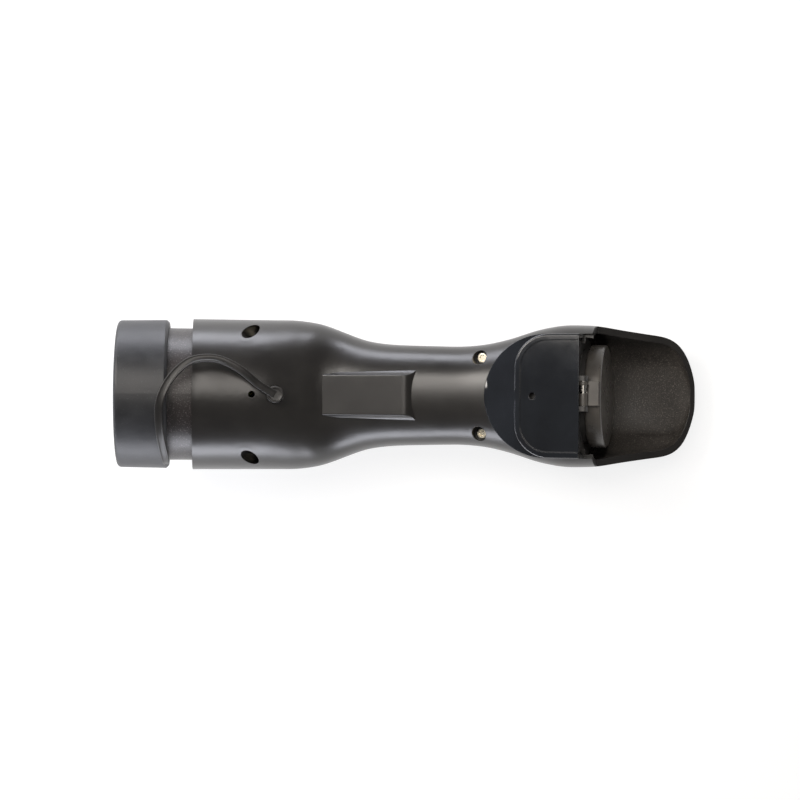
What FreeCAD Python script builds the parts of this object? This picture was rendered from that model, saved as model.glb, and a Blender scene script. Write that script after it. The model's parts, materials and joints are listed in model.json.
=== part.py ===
import FreeCAD
import Part
import math
import os

# A vehicle-to-load adapter: a type 2 car connector at one end, an earthed two-pin socket at the other.
# It lies on its back, as on a bench, with the side that faces the ground in use turned up.
# Millimetres. +X runs along the handle and out of the socket's mouth, +Z points up from the bench.
# Sizes are worked out from the bend, where the nose's axis meets the handle's axis.
# "Near" is the upper side here, with the screws, and "far" is the side that lies on the bench.

Vector = FreeCAD.Vector

# General walls and gaps
WALL = 3.0
SEAT_GAP = 0.1
RUN_GAP = 0.3
OVERLAP = 0.5
FLOOR_DEPTH = 34.5
PAST = 300.0

# Nose and barrel, measured along the nose's axis from the bend
NOSE_PITCH = 24.0
NOSE_R = 31.5
NOSE_FRONT = 86.0
NOSE_WALL = 2.8
NOSE_FLAT_DEPTH = 2.1
NOSE_CHAMFER = 0.6
BARREL_STEP = 4.5
BARREL_FRONT = 53.6
BARREL_BACK = 26.0
LIP_LENGTH = 5.4
FLANGE_LENGTH = 3.2
RIB_LENGTH = 2.8
RIB_HEIGHT = 3.5
WEB_LENGTH = 4.0
WEB_SETBACK = 7.1
SEAL_WIRE_R = 0.45
SEAL_GROOVE = 0.9
SEAL_GROOVE_HALF = 0.6

# Contact carrier and contacts, in the nose
CARRIER_LEDGE = 4.5
CARRIER_RECESS = 2.0
CARRIER_FLANGE_LENGTH = 3.5
RETAINER_LENGTH = 3.3
CARRIER_SCREW_INSET = 2.7
CARRIER_SCREW_R = 1.0
CARRIER_SCREW_HEAD_R = 1.8
CARRIER_SCREW_HEAD_HEIGHT = 1.4
CONTACT_SETBACK = 2.6
CONTACT_LIP = 0.5
CONTACT_COLLAR_LENGTH = 2.3
CONTACT_COLLAR_HEIGHT = 0.8
CONTACT_BORE_LENGTH = 24.0
CRIMP_LENGTH = 10.0
CRIMP_DEPTH = 8.4
POWER_TUBE_R = 4.0
POWER_BORE_R = 3.0
POWER_CRIMP_R = 2.9
POWER_PITCH = 16.3
SIGNAL_TUBE_R = 2.4
SIGNAL_BORE_R = 1.5
SIGNAL_CRIMP_R = 1.8
SIGNAL_PITCH = 8.7
SIGNAL_OFFSET = 13.5
BLANK_PITCH = 9.3
BLANK_OFFSET = 14.5
BLANK_DEPTH = 6.0

# Dust cap, pushed over the nose
CAP_DEPTH = 21.1
CAP_WALL = 2.5
CAP_SIDE_WALL = 3.6
CAP_TAPER = 0.5
CAP_EDGE = 1.9
CAP_RIM_EDGE = 1.2
CAP_PLUG_LENGTH = 8.0
CAP_PLUG_WALL = 1.8

# Strap from the cap to the barrel: places along the nose's axis, angles round it from the near side
# and lifts above the barrel's radius
LUG_R = 2.8
LUG_LENGTH = 3.4
STRAP_R = 1.7
STRAP_PATH = ((64.3, -66.0, 0.1), (66.5, -48.4, 2.3), (69.4, -24.9, 4.4), (69.6, -5.5, 5.8),
              (64.6, 9.5, 6.6), (55.0, 20.7, 8.1), (43.0, 21.9, 8.5), (32.5, 15.9, 7.0), (20.3, 4.8, 2.1))
KNOB_S = 16.0
KNOB_R = 3.9
KNOB_SINK = 2.7
KNOB_HEIGHT = 4.2
KNOB_EDGE = 1.2
KNOB_STEM_R = 2.3
KNOB_BULB_R = 3.0
KNOB_BULB_DROP = 6.0
KNOB_BULB_LENGTH = 2.6

# Handle. At each point of a shoulder, the share is how much of the barrel's size is left over the grip's.
GRIP_HALF_WIDTH = 23.0
GRIP_NEAR = 22.0
GRIP_FAR = 24.0
SHOULDER_PLAN = ((-6.0, 1.0), (-2.0, 0.985), (8.0, 0.862), (18.0, 0.6), (28.0, 0.308), (38.0, 0.138),
                 (48.0, 0.069), (58.0, 0.038))
SHOULDER_NEAR = ((-60.0, 1.0), (-22.0, 1.0), (-9.0, 0.997), (-3.0, 0.949), (4.0, 0.787), (11.0, 0.544),
                 (17.0, 0.225), (22.0, 0.04), (30.0, 0.0))
SHOULDER_FAR = ((-60.0, 1.0), (-30.0, 1.0), (-16.0, 1.0), (-6.0, 0.882), (5.0, 0.648), (16.0, 0.356),
                (28.0, 0.129), (40.0, 0.03), (52.0, 0.0))
TILT_START = -22.0
TILT_END = 24.0
BARREL_POWER = 2.0
GRIP_POWER = 2.3
REAR_POWER = 2.6
GRIP_START = 50.0

# Socket end of the handle. Distances are back from the shells' end, and the share is how much of the
# swell from the grip's size to the end's size is reached there.
SHELL_END = 141.7
REAR_HALF_WIDTH = 31.9
REAR_NEAR = 27.0
REAR_FAR = 35.5
REAR_PLAN = ((63.7, 0.0), (54.7, 0.056), (45.2, 0.225), (35.7, 0.506), (26.4, 0.82), (17.2, 1.011),
             (10.7, 1.056), (0.0, 1.0))
REAR_NEAR_SIDE = ((61.7, 0.0), (47.7, 0.26), (32.7, 0.78), (19.7, 1.0), (0.0, 1.0))
REAR_FAR_SIDE = ((71.7, 0.0), (57.7, 0.122), (41.7, 0.47), (26.7, 0.835), (13.7, 0.991),
                 (7.7, 1.0), (0.0, 1.0))
REAR_RUN = 61.7
REAR_FULL_RUN = 10.7

# Thumb pad on the grip's near side
PAD_START = 17.5
PAD_LENGTH = 44.5
PAD_HALF_WIDTH = 9.3
PAD_RISE = 2.2
PAD_FLARE = 2.6
PAD_SAG_OUT = 0.27
PAD_SAG_UP = 0.43
PAD_DROP = 2.4
PAD_END_SLOPE = 4.5
PAD_EDGE = 0.6

# Rain hood
HOOD_LENGTH = 41.9
HOOD_ROUND_LENGTH = 18.6
HOOD_TAPER = 0.15
HOOD_TIP_FAR = 26.5
HOOD_TIP_RIM = 23.0
HOOD_LIFT_LENGTH = 28.6
HOOD_WALL = 3.2
HOOD_TIP_WALL = 2.0
HOOD_ROUND_POWER = 3.1
HOOD_POWER_GAIN = 0.6

# Shell screws, upright, through the near shell into columns of the far shell
GRIP_SCREW_BACK = 51.2
GRIP_SCREW_Y = 17.3
GRIP_SCREW_SEAT = 9.6
BARREL_SCREW_X = -16.2
BARREL_SCREW_INSET = 6.6
BARREL_SCREW_SEAT = 12.6
COLUMN_R = 4.7
WELL_R = 3.35
SCREW_HEAD_R = 2.55
SCREW_HEAD_HEIGHT = 2.0
SCREW_HEAD_EDGE = 0.6
SCREW_SHANK_R = 1.3
SCREW_LENGTH = 18.0
LOBE_DEPTH = 1.1
LOBE_CIRCLE = 0.95
LOBE_R = 0.42
DRAIN_R = 1.5
BARREL_DRAIN_S = 26.6

# Gloss cover over the socket, with its places back from the shells' end
COVER_LENGTH = 47.5
COVER_END_BACK = 4.2
COVER_R = 27.5
COVER_RISE = 3.0
COVER_WALL = 2.3
COVER_PROUD = 0.3
COVER_SEAT = 1.5
RAMP_STEP = 1.2
RAMP_RUN = 15.5
CROWN_BACK = 32.7
CROWN_CORNER = 15.0
CROWN_RIM = 2.6
CROWN_SINK = 0.6
CROWN_EDGE = 1.0
COVER_DRAIN_BACK = 24.7
PEG_R = 1.5
PEG_BACK = 40.2
PEG_Y = 12.0
PEG_PROUD = 2.3

# Socket insert, its axis on the handle's axis
RECESS_R = 19.75
RECESS_DEPTH = 17.5
MOUTH_PROUD = 1.9
COLLAR_WALL = 1.75
PLATE_LENGTH = 3.0
CHAMBER_STEP = 0.85
CHAMBER_WALL = 1.2
BULKHEAD_BACK = 8.2
BULKHEAD_LENGTH = 2.5
BULKHEAD_FIT = 0.25
BULKHEAD_RIB = 2.0
BULKHEAD_RIB_HEIGHT = 2.2
BULKHEAD_STEP = 14.0
PIN_PITCH = 9.5
PIN_HOLE_R = 2.7
BLOCK_ROOM = 0.4
BLOCK_LENGTH = 4.0
CLIP_R = 3.4
CLIP_BORE_R = 2.45
CLIP_SEAT_LENGTH = 2.0
CLIP_LENGTH = 10.0
CLIP_FLOOR = 1.0
CLIP_SLOT = 0.8
TERMINAL_R = 2.6
TERMINAL_REACH = 5.8
TERMINAL_FLOOR = 0.6
CHAMBER_LENGTH = 10.4
BACK_LENGTH = 2.4
BACK_LIP = 0.9
SPIGOT_WALL = 2.4
EARTH_HALF_WIDTH = 2.5
EARTH_THICKNESS = 0.5
EARTH_SINK = 0.55
EARTH_BUMP = 0.25
EARTH_BUMP_LENGTH = 7.0
EARTH_BUMP_BACK = 2.0
EARTH_ARM_BACK = 7.0
EARTH_LEAD_Z = 8.0
SOCKET_SCREW_PITCH = 12.0
SOCKET_SCREW_R = 1.3
SOCKET_BOSS_R = 2.4
SOCKET_SCREW_HEAD_R = 2.3
SOCKET_SCREW_HEAD_HEIGHT = 1.6
SOCKET_SCREW_LENGTH = 18.6

# Child shutter, a sprung disc behind the socket's face
SHUTTER_R = 13.0
SHUTTER_LENGTH = 2.2
SHUTTER_TURN = 32.0
SHUTTER_HOLE_R = 2.9
SHUTTER_RECESS_R = 5.0
SHUTTER_RECESS = 1.2
PIVOT_R = 2.0
SHUTTER_SPRING_R = 3.4
SHUTTER_SPRING_PITCH = 0.58

# Lid
LID_GAP = 0.4
LID_SIDE_WALL = 1.35
LID_SKIRT_LENGTH = 4.9
LID_PROUD = 2.6
LID_WALL = 2.0
LID_EDGE = 1.2
LID_BACK_EDGE = 1.2
GASKET_LENGTH = 0.3
GASKET_LIP = 0.75
HINGE_LIFT = 1.95
HINGE_Y = 1.1
HINGE_HALF = 5.3
HINGE_PIN_R = 1.0
KNUCKLE_R = 2.2
KNUCKLE_GAP = 0.2
EAR_LENGTH = 2.3
EAR_LIFT = 1.6
LID_SPRING_LENGTH = 3.4
LID_SPRING_R = 1.6
LID_SPRING_PITCH = 0.72
SPRING_WIRE = 0.5

# Start button, its switch and its board
BUTTON_X = 50.0
BUTTON_R = 6.2
BUTTON_PROUD = 0.9
BUTTON_EDGE = 0.6
BUTTON_FLANGE_R = 7.6
BUTTON_FLANGE_LENGTH = 1.4
BUTTON_TRAVEL = 1.2
BUTTON_NUB_R = 1.6
BUTTON_SPRING_R = 4.7
BUTTON_SPRING_TURNS = 3
GUIDE_HEIGHT = 3.0
GUIDE_WALL = 1.4
BOARD_LIFT = 8.4
BOARD_HALF_LENGTH = 28.0
BOARD_HALF_WIDTH = 11.0
BOARD_THICKNESS = 1.6
BOARD_POST_INSET = 4.0
BOARD_POST_Y = 8.0
BOARD_POST_R = 2.5
BOARD_SCREW_R = 0.9
BOARD_SCREW_HEAD_R = 1.6
BOARD_SCREW_HEAD_HEIGHT = 1.3
BOARD_SCREW_LENGTH = 7.0
SWITCH_HALF = 3.0
SWITCH_HEIGHT = 3.5
SWITCH_NUB_R = 1.2
SWITCH_NUB = 1.2
TERMINAL_INSET = 9.0
TERMINAL_LENGTH = 6.0
TERMINAL_HEIGHT = 5.0
TERMINAL_PITCH = 5.0
TERMINAL_HALF = 7.5
TERMINAL_WALL = 1.0
CHIP_INSET = 40.0
CHIP_HALF = 3.4
CHIP_HEIGHT = 1.3
RESISTOR_INSET = 22.0
RESISTOR_R = 1.2
RESISTOR_HALF = 3.2
RESISTOR_LEAD_R = 0.35
RESISTOR_LEG_DEPTH = 1.2
RESISTOR_RISE = 1.7

# Leads
POWER_LEAD_R = 1.7
SIGNAL_LEAD_R = 0.9
LEAD_BEND_S = 12.0
LEAD_LEVEL_X = 30.0
SIGNAL_BEND_S = 18.0
SIGNAL_LEVEL_X = 8.0

# Section curves of the shells
SECTION_POINTS = 20
SEAM_POINT = 7
STATION_PITCH = 7.0
BARREL_STATIONS = 3
HOOD_STATIONS = (0.0, 0.2, 0.4, 0.56, 0.69, 0.79, 0.87, 0.93, 0.97, 0.995)


def smooth(u):
    u = min(max(u, 0.0), 1.0)
    return u * u * (3.0 - 2.0 * u)


def blend(start, end, low, high, t):
    return start + (end - start) * smooth((t - low) / (high - low))


def along(outline, x):
    """A soft curve through the points of an outline, level beyond its ends."""
    if x <= outline[0][0]:
        return outline[0][1]
    if x >= outline[-1][0]:
        return outline[-1][1]
    i = 0
    while outline[i + 1][0] < x:
        i += 1
    slopes = []
    for k in (i, i + 1):
        before = outline[max(k - 1, 0)]
        after = outline[min(k + 1, len(outline) - 1)]
        slopes.append((after[1] - before[1]) / (after[0] - before[0]))
    span = outline[i + 1][0] - outline[i][0]
    u = (x - outline[i][0]) / span
    start = (1.0 + 2.0 * u) * (1.0 - u) ** 2 * outline[i][1] + u * (1.0 - u) ** 2 * span * slopes[0]
    end = u * u * (3.0 - 2.0 * u) * outline[i + 1][1] - u * u * (1.0 - u) * span * slopes[1]
    return start + end


def nose_point(s, y, n):
    """A point s along the nose's axis, y across it and n towards the near side."""
    pitch = math.radians(NOSE_PITCH)
    x = -math.cos(pitch) * s + math.sin(pitch) * n
    z = math.sin(pitch) * s + math.cos(pitch) * n
    return Vector(x, y, z)


def on_nose(shape):
    """Turns a shape drawn about Z, with its own X towards the near side, onto the nose's axis."""
    placed = shape.copy()
    placed.rotate(Vector(0, 0, 0), Vector(0, 1, 0), NOSE_PITCH - 90.0)
    return placed


def rod(radius, low, high, x=0.0, y=0.0):
    return Part.makeCylinder(radius, high - low, Vector(x, y, low), Vector(0, 0, 1))


def tube(outer, inner, low, high, x=0.0, y=0.0):
    return rod(outer, low, high, x, y).cut(rod(inner, low - 1.0, high + 1.0, x, y))


def rod_x(radius, low, high, y=0.0, z=0.0):
    return Part.makeCylinder(radius, high - low, Vector(low, y, z), Vector(1, 0, 0))


def rod_y(radius, low, high, x, z):
    return Part.makeCylinder(radius, high - low, Vector(x, low, z), Vector(0, 1, 0))


def box(x0, x1, y0, y1, z0, z1):
    return Part.makeBox(x1 - x0, y1 - y0, z1 - z0, Vector(x0, y0, z0))


def turned(points):
    """Revolves a profile of (radius, height) points about Z."""
    corners = [Vector(r, 0.0, h) for r, h in points]
    outline = Part.makePolygon(corners + [corners[0]])
    return Part.Face(outline).revolve(Vector(0, 0, 0), Vector(0, 0, 1), 360.0)


def turned_x(points, y=0.0, z=0.0):
    """Revolves a profile of (radius, x) points about a line along X."""
    corners = [Vector(x, y, z + r) for r, x in points]
    outline = Part.makePolygon(corners + [corners[0]])
    return Part.Face(outline).revolve(Vector(0, y, z), Vector(1, 0, 0), 360.0)


def side_prism(points, half=PAST):
    """A solid from an outline in the XZ plane, as wide on both sides of the middle."""
    corners = [Vector(x, -half, z) for x, z in points]
    face = Part.Face(Part.makePolygon(corners + [corners[0]]))
    return face.extrude(Vector(0, 2.0 * half, 0))


def fuse(*shapes):
    return shapes[0].multiFuse(list(shapes[1:])).removeSplitter()


def edges_at(shape, test):
    """The edges whose end points all pass a test."""
    return [edge for edge in shape.Edges if all(test(vertex.Point) for vertex in edge.Vertexes)]


def near_to(a, b):
    return abs(a - b) < 0.01


def bent_tube(points, radius):
    """A round tube of straight runs joined by tangent arcs, each as large as its two runs allow."""
    edges = []
    start = points[0]
    for i in range(1, len(points) - 1):
        back = points[i - 1] - points[i]
        ahead = points[i + 1] - points[i]
        run = min(back.Length, ahead.Length) * 0.45
        back.normalize()
        ahead.normalize()
        first = points[i] + back * run
        last = points[i] + ahead * run
        half = back.getAngle(ahead) / 2.0
        middle = back + ahead
        middle.normalize()
        depth = run / math.cos(half) - run * math.tan(half)
        edges.append(Part.LineSegment(start, first).toShape())
        edges.append(Part.Arc(first, points[i] + middle * depth, last).toShape())
        start = last
    edges.append(Part.LineSegment(start, points[-1]).toShape())
    path = Part.Wire(edges)
    ring = Part.Wire([Part.makeCircle(radius, points[0], points[1] - points[0])])
    return path.makePipeShell([ring], True, True)


def coil(radius, pitch, turns, direction, start):
    """A coil of square wire from a start point along a direction."""
    helix = Part.makeHelix(pitch, pitch * turns, radius)
    half = SPRING_WIRE / 2.0
    corners = [(-half, -half), (half, -half), (half, half), (-half, half)]
    points = [Vector(radius + a, 0.0, b) for a, b in corners]
    square = Part.makePolygon(points + [points[0]])
    spring = Part.Wire(helix.Edges).makePipeShell([square], True, True)
    spring.translate(Vector(0, 0, half))
    spring.Placement = FreeCAD.Placement(start, FreeCAD.Rotation(Vector(0, 0, 1), direction)).multiply(
        spring.Placement)
    return spring


def lobe_recess(head_height):
    """The six-lobe recess of a shell screw."""
    floor = head_height - LOBE_DEPTH
    lobes = [rod(LOBE_CIRCLE, floor, PAST)]
    for i in range(6):
        angle = math.pi * i / 3.0
        lobes.append(rod(LOBE_R, floor, PAST, LOBE_CIRCLE * math.cos(angle), LOBE_CIRCLE * math.sin(angle)))
    return fuse(*lobes)


def screw(head_r, head_height, shank_r, length, seat, direction, recess):
    """A pan-head screw seated at a point and driven along a direction."""
    head = rod(head_r, 0.0, head_height)
    edge = SCREW_HEAD_EDGE * head_r / SCREW_HEAD_R
    head = head.makeFillet(edge, edges_at(head, lambda p: near_to(p.z, head_height)))
    body = fuse(head, rod(shank_r, -length, OVERLAP)).cut(recess)
    turn = FreeCAD.Rotation(Vector(0, 0, -1), direction)
    body.Placement = FreeCAD.Placement(seat, turn).multiply(body.Placement)
    return body


def plain_recess(head_r, head_height):
    """The round start of a recess on a screw that no side shows."""
    return rod(head_r / 2.0, head_height / 2.0, PAST)


# Places worked out from the sizes above

barrel_r = NOSE_R + BARREL_STEP
barrel_bore = barrel_r - WALL
nose_bore = NOSE_R - NOSE_WALL
nose_flat = NOSE_R - NOSE_FLAT_DEPTH
lip_back = BARREL_FRONT - LIP_LENGTH
seal_s = BARREL_FRONT - LIP_LENGTH / 2.0
flange_r = barrel_bore - 2.0 * SEAT_GAP
flange_front = lip_back - SEAT_GAP
flange_back = flange_front - FLANGE_LENGTH
rib_front = flange_back - SEAT_GAP
rib_back = rib_front - RIB_LENGTH
web_back = flange_back + WEB_SETBACK
web_front = web_back + WEB_LENGTH
carrier_screw_end = web_front - WALL / 2.0

carrier_r = nose_bore - CARRIER_LEDGE
carrier_flange_r = nose_bore - RUN_GAP
carrier_flat = nose_flat - NOSE_WALL - CARRIER_LEDGE
carrier_screw_circle = nose_bore - CARRIER_SCREW_INSET
carrier_front = NOSE_FRONT - CARRIER_RECESS
carrier_back = web_back - SEAT_GAP - CARRIER_FLANGE_LENGTH
retainer_front = carrier_back - SEAT_GAP
retainer_back = retainer_front - RETAINER_LENGTH
contact_front = carrier_front - CONTACT_SETBACK
crimp_back = carrier_back - CRIMP_LENGTH
crimp_floor = crimp_back + CRIMP_DEPTH

cap_rim = NOSE_FRONT - CAP_DEPTH
cap_inside = NOSE_FRONT + RUN_GAP
cap_front = cap_inside + CAP_WALL
cap_rim_r = NOSE_R + RUN_GAP + CAP_SIDE_WALL
cap_top_r = cap_rim_r - CAP_TAPER
knob_seat = barrel_r - KNOB_SINK
knob_bulb_back = barrel_r - KNOB_BULB_DROP - KNOB_BULB_LENGTH

rear_start = SHELL_END - REAR_RUN
rear_full = SHELL_END - REAR_FULL_RUN
hood_tip = SHELL_END + HOOD_LENGTH
pad_end = PAD_START + PAD_LENGTH
pad_top = GRIP_NEAR + PAD_RISE
cover_start = SHELL_END - COVER_LENGTH
cover_end = SHELL_END - COVER_END_BACK
cover_centre = cover_start + COVER_R
cover_top = REAR_NEAR + COVER_RISE
cover_hollow_top = cover_top - CROWN_SINK - COVER_WALL + OVERLAP
crown_start = SHELL_END - CROWN_BACK
ramp_base = GRIP_NEAR + RAMP_STEP
peg_x = SHELL_END - PEG_BACK

mouth_x = SHELL_END + MOUTH_PROUD
collar_r = RECESS_R + COLLAR_WALL
chamber_r = RECESS_R + CHAMBER_STEP
insert_r = chamber_r + CHAMBER_WALL
bulkhead_x = SHELL_END - BULKHEAD_BACK
bulkhead_front = bulkhead_x + BULKHEAD_LENGTH
bulkhead_top = cover_hollow_top - SEAT_GAP
recess_floor = mouth_x - RECESS_DEPTH
plate_back = recess_floor - PLATE_LENGTH
shutter_back = plate_back - SEAT_GAP - SHUTTER_LENGTH
block_front = shutter_back - BLOCK_ROOM
block_back = block_front - BLOCK_LENGTH
insert_back = block_back - CHAMBER_LENGTH
back_face = insert_back - BACK_LENGTH
clip_front = block_back + CLIP_SEAT_LENGTH
clip_back = clip_front - CLIP_LENGTH
terminal_back = clip_back - TERMINAL_REACH
lead_end = clip_back - TERMINAL_FLOOR
earth_reach = RECESS_R + EARTH_SINK
earth_arm_end = mouth_x - EARTH_ARM_BACK

lid_skirt_r = collar_r + LID_GAP
lid_r = lid_skirt_r + LID_SIDE_WALL
lid_back = mouth_x - LID_SKIRT_LENGTH
lid_front = mouth_x + LID_PROUD
lid_inside = lid_front - LID_WALL
hinge_x = lid_back + SEAT_GAP
hinge_z = lid_r + HINGE_LIFT
ear_base = collar_r + EAR_LIFT

button_seat = WALL - GRIP_FAR
guide_top = button_seat + GUIDE_HEIGHT
board_face = button_seat + BOARD_LIFT
board_top = board_face + BOARD_THICKNESS
board_start = BUTTON_X - BOARD_HALF_LENGTH
board_end = BUTTON_X + BOARD_HALF_LENGTH
switch_base = board_face - SEAT_GAP
switch_tip = switch_base - SWITCH_HEIGHT - SWITCH_NUB
flange_base = button_seat + SEAT_GAP
terminal_x = board_start + TERMINAL_INSET
terminal_floor = terminal_x + TERMINAL_LENGTH - TERMINAL_WALL
terminal_z = board_top + TERMINAL_HEIGHT / 2.0

barrel_screw_y = barrel_r - BARREL_SCREW_INSET
barrel_screws = [(BARREL_SCREW_X, y, BARREL_SCREW_SEAT) for y in (-barrel_screw_y, barrel_screw_y)]
grip_screws = [(SHELL_END - GRIP_SCREW_BACK, y, GRIP_SCREW_SEAT) for y in (-GRIP_SCREW_Y, GRIP_SCREW_Y)]
post_places = [(x, y) for x in (board_start + BOARD_POST_INSET, board_end - BOARD_POST_INSET)
               for y in (-BOARD_POST_Y, BOARD_POST_Y)]
socket_screw_places = [(y, z) for y in (-SOCKET_SCREW_PITCH, SOCKET_SCREW_PITCH)
                       for z in (-SOCKET_SCREW_PITCH, SOCKET_SCREW_PITCH)]


# Outlines of the handle: half width, near height and far depth at points along it

def barrel_side(x, side):
    """Where the barrel's straight outline passes x: its near height (side 1) or far depth (side -1)."""
    pitch = math.radians(NOSE_PITCH)
    return barrel_r / math.cos(pitch) - side * x * math.tan(pitch)


def from_shoulder(shares, grip, barrel):
    return [(x, grip + share * (barrel(x) - grip)) for x, share in shares]


def from_rear(shares, grip, end):
    return [(SHELL_END - back, grip + share * (end - grip)) for back, share in shares]


half_width = from_shoulder(SHOULDER_PLAN, GRIP_HALF_WIDTH, lambda x: barrel_r)
half_width += from_rear(REAR_PLAN, GRIP_HALF_WIDTH, REAR_HALF_WIDTH)
near_side = from_shoulder(SHOULDER_NEAR, GRIP_NEAR, lambda x: barrel_side(x, 1.0))
near_side += from_rear(REAR_NEAR_SIDE, GRIP_NEAR, REAR_NEAR)
far_side = from_shoulder(SHOULDER_FAR, GRIP_FAR, lambda x: barrel_side(x, -1.0))
far_side += from_rear(REAR_FAR_SIDE, GRIP_FAR, REAR_FAR)
peg_end = along(near_side, peg_x) - WALL - PEG_PROUD


# Outer and inner forms of the two shells

def section_tilt(t):
    return NOSE_PITCH * (1.0 - smooth((t - TILT_START) / (TILT_END - TILT_START)))


def section_power(t):
    if t < rear_start:
        return blend(BARREL_POWER, GRIP_POWER, -BARREL_BACK, GRIP_START, t)
    return blend(GRIP_POWER, REAR_POWER, rear_start, rear_full, t)


def reach(centre, up, outline):
    """How far a section reaches along its upright before it meets a side outline."""
    low = 0.0
    high = 2.0 * barrel_r
    for i in range(40):
        middle = (low + high) / 2.0
        point = centre + up * middle
        if abs(point.z) < along(outline, point.x):
            low = middle
        else:
            high = middle
    return low


def section_wire(centre, up, half, near, far, power):
    """A closed section: two part super-ellipses that meet at the parting plane."""
    points = []
    for i in range(SECTION_POINTS):
        angle = 2.0 * math.pi * (i - SEAM_POINT) / SECTION_POINTS
        c = math.cos(angle)
        s = math.sin(angle)
        y = half * math.copysign(abs(c) ** (2.0 / power), c)
        depth = near if s > 0 else far
        z = depth * math.copysign(abs(s) ** (2.0 / power), s)
        points.append(centre + Vector(0.0, y, 0.0) + up * z)
    curve = Part.BSplineCurve()
    curve.interpolate(Points=points, PeriodicFlag=True, Parameters=list(range(SECTION_POINTS + 1)))
    return Part.Wire([curve.toShape()])


def body_wire(t, inset):
    centre = nose_point(-t, 0.0, 0.0) if t < 0 else Vector(t, 0.0, 0.0)
    tilt = math.radians(section_tilt(t))
    up = Vector(math.sin(tilt), 0.0, math.cos(tilt))
    if t <= -BARREL_BACK:
        radius = barrel_r - inset
        return section_wire(centre, up, radius, radius, radius, BARREL_POWER)
    near = reach(centre, up, near_side) - inset
    far = reach(centre, up * -1.0, far_side) - inset
    return section_wire(centre, up, along(half_width, t) - inset, near, far, section_power(t))


def rim_height(x):
    return -HOOD_TIP_RIM * (x - SHELL_END) / HOOD_LENGTH


def hood_wire(x, side_inset, tip_inset):
    """The hood's section at x, as wide as its rim's plan asks for at the rim's height."""
    tip = hood_tip - tip_inset
    round_start = hood_tip - HOOD_ROUND_LENGTH
    plan = REAR_HALF_WIDTH - side_inset - HOOD_TAPER * (x - SHELL_END)
    u = max((x - round_start) / (tip - round_start), 0.0)
    plan = plan * math.sqrt(1.0 - u ** HOOD_ROUND_POWER)
    v = max((x - hood_tip + HOOD_LIFT_LENGTH) / HOOD_LIFT_LENGTH, 0.0)
    depth = REAR_FAR - (REAR_FAR - HOOD_TIP_FAR) * v * v - tip_inset
    power = REAR_POWER + HOOD_POWER_GAIN * smooth((x - SHELL_END) / (tip - SHELL_END))
    sink = abs(rim_height(x)) / depth
    half = plan / (1.0 - sink ** power) ** (1.0 / power)
    return section_wire(Vector(x, 0.0, 0.0), Vector(0, 0, 1), half, REAR_NEAR - side_inset, depth, power)


def body_form(inset, side_inset, tip_inset, front=BARREL_FRONT):
    """The form of barrel, handle and hood as one solid, drawn in by an inset."""
    wires = []
    for i in range(BARREL_STATIONS + 1):
        wires.append(body_wire(-front + i * (front - BARREL_BACK - STATION_PITCH) / BARREL_STATIONS, inset))
    count = round((SHELL_END + BARREL_BACK) / STATION_PITCH)
    for i in range(count):
        wires.append(body_wire(-BARREL_BACK + i * STATION_PITCH, inset))
    tip = hood_tip - tip_inset
    for share in HOOD_STATIONS:
        wires.append(hood_wire(SHELL_END + share * (tip - SHELL_END), side_inset, tip_inset))
    return Part.makeLoft(wires, True, False)


def cover_outline(inset, low, high, end=SHELL_END):
    """The cover's plan: a half round towards the grip and straight sides towards the socket."""
    radius = COVER_R - inset
    round_end = rod(radius, low, high, cover_centre).cut(box(cover_centre, PAST, -radius, radius, low, high))
    return fuse(round_end, box(cover_centre, end, -radius, radius, low, high))


def crown_outline(inset, low, high, end=cover_end):
    """The raised D of the cover, with large corners towards the grip."""
    half = COVER_R - COVER_PROUD - inset
    start = crown_start + inset
    block = box(start, end, -half, half, low, high)
    corners = [edge for edge in edges_at(block, lambda p: near_to(p.x, start))
               if near_to(edge.Vertexes[0].Point.y, edge.Vertexes[1].Point.y)]
    return block.makeFillet(CROWN_CORNER - inset, corners)


def bulkhead_ring(outer_inset, inner_inset, start, length):
    """A ring inside the shells that holds the socket's bulkhead."""
    ring = Part.Face(body_wire(bulkhead_x, outer_inset)).cut(Part.Face(body_wire(bulkhead_x, inner_inset)))
    ring = ring.extrude(Vector(length, 0, 0))
    ring.translate(Vector(start - bulkhead_x, 0, 0))
    return ring


def thumb_pad():
    """A flat pad with flared sides and a sloped end towards the socket."""
    top = PAD_HALF_WIDTH
    foot = top + PAD_FLARE
    floor = GRIP_NEAR - PAD_DROP
    base = floor - OVERLAP
    sag_y = top + PAD_FLARE * PAD_SAG_OUT
    sag_z = floor + (pad_top - floor) * PAD_SAG_UP
    left = Part.Arc(Vector(0, -foot, floor), Vector(0, -sag_y, sag_z), Vector(0, -top, pad_top)).toShape()
    right = Part.Arc(Vector(0, top, pad_top), Vector(0, sag_y, sag_z), Vector(0, foot, floor)).toShape()
    crest = Part.makeLine(Vector(0, -top, pad_top), Vector(0, top, pad_top))
    under = Part.makePolygon([Vector(0, foot, floor), Vector(0, foot, base), Vector(0, -foot, base),
                              Vector(0, -foot, floor)])
    section = Part.Face(Part.Wire([left, crest, right] + under.Edges))
    pad = section.extrude(Vector(PAD_LENGTH, 0, 0))
    pad.translate(Vector(PAD_START, 0, 0))
    slope = side_prism([(pad_end - PAD_END_SLOPE, pad_top), (pad_end, floor), (PAST, floor), (PAST, PAST),
                        (pad_end - PAD_END_SLOPE, PAST)])
    pad = pad.cut(slope)
    end_line = [edge for edge in pad.Edges
                if all(near_to(v.Point.z, pad_top) and near_to(v.Point.x, pad_end - PAD_END_SLOPE)
                       for v in edge.Vertexes)]
    pad = pad.makeFillet(PAD_END_SLOPE, end_line)
    rims = [edge for edge in edges_at(pad, lambda p: near_to(p.z, pad_top))
            if edge.BoundBox.XLength > PAD_FLARE]
    return pad.makeFillet(PAD_EDGE, rims)


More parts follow.
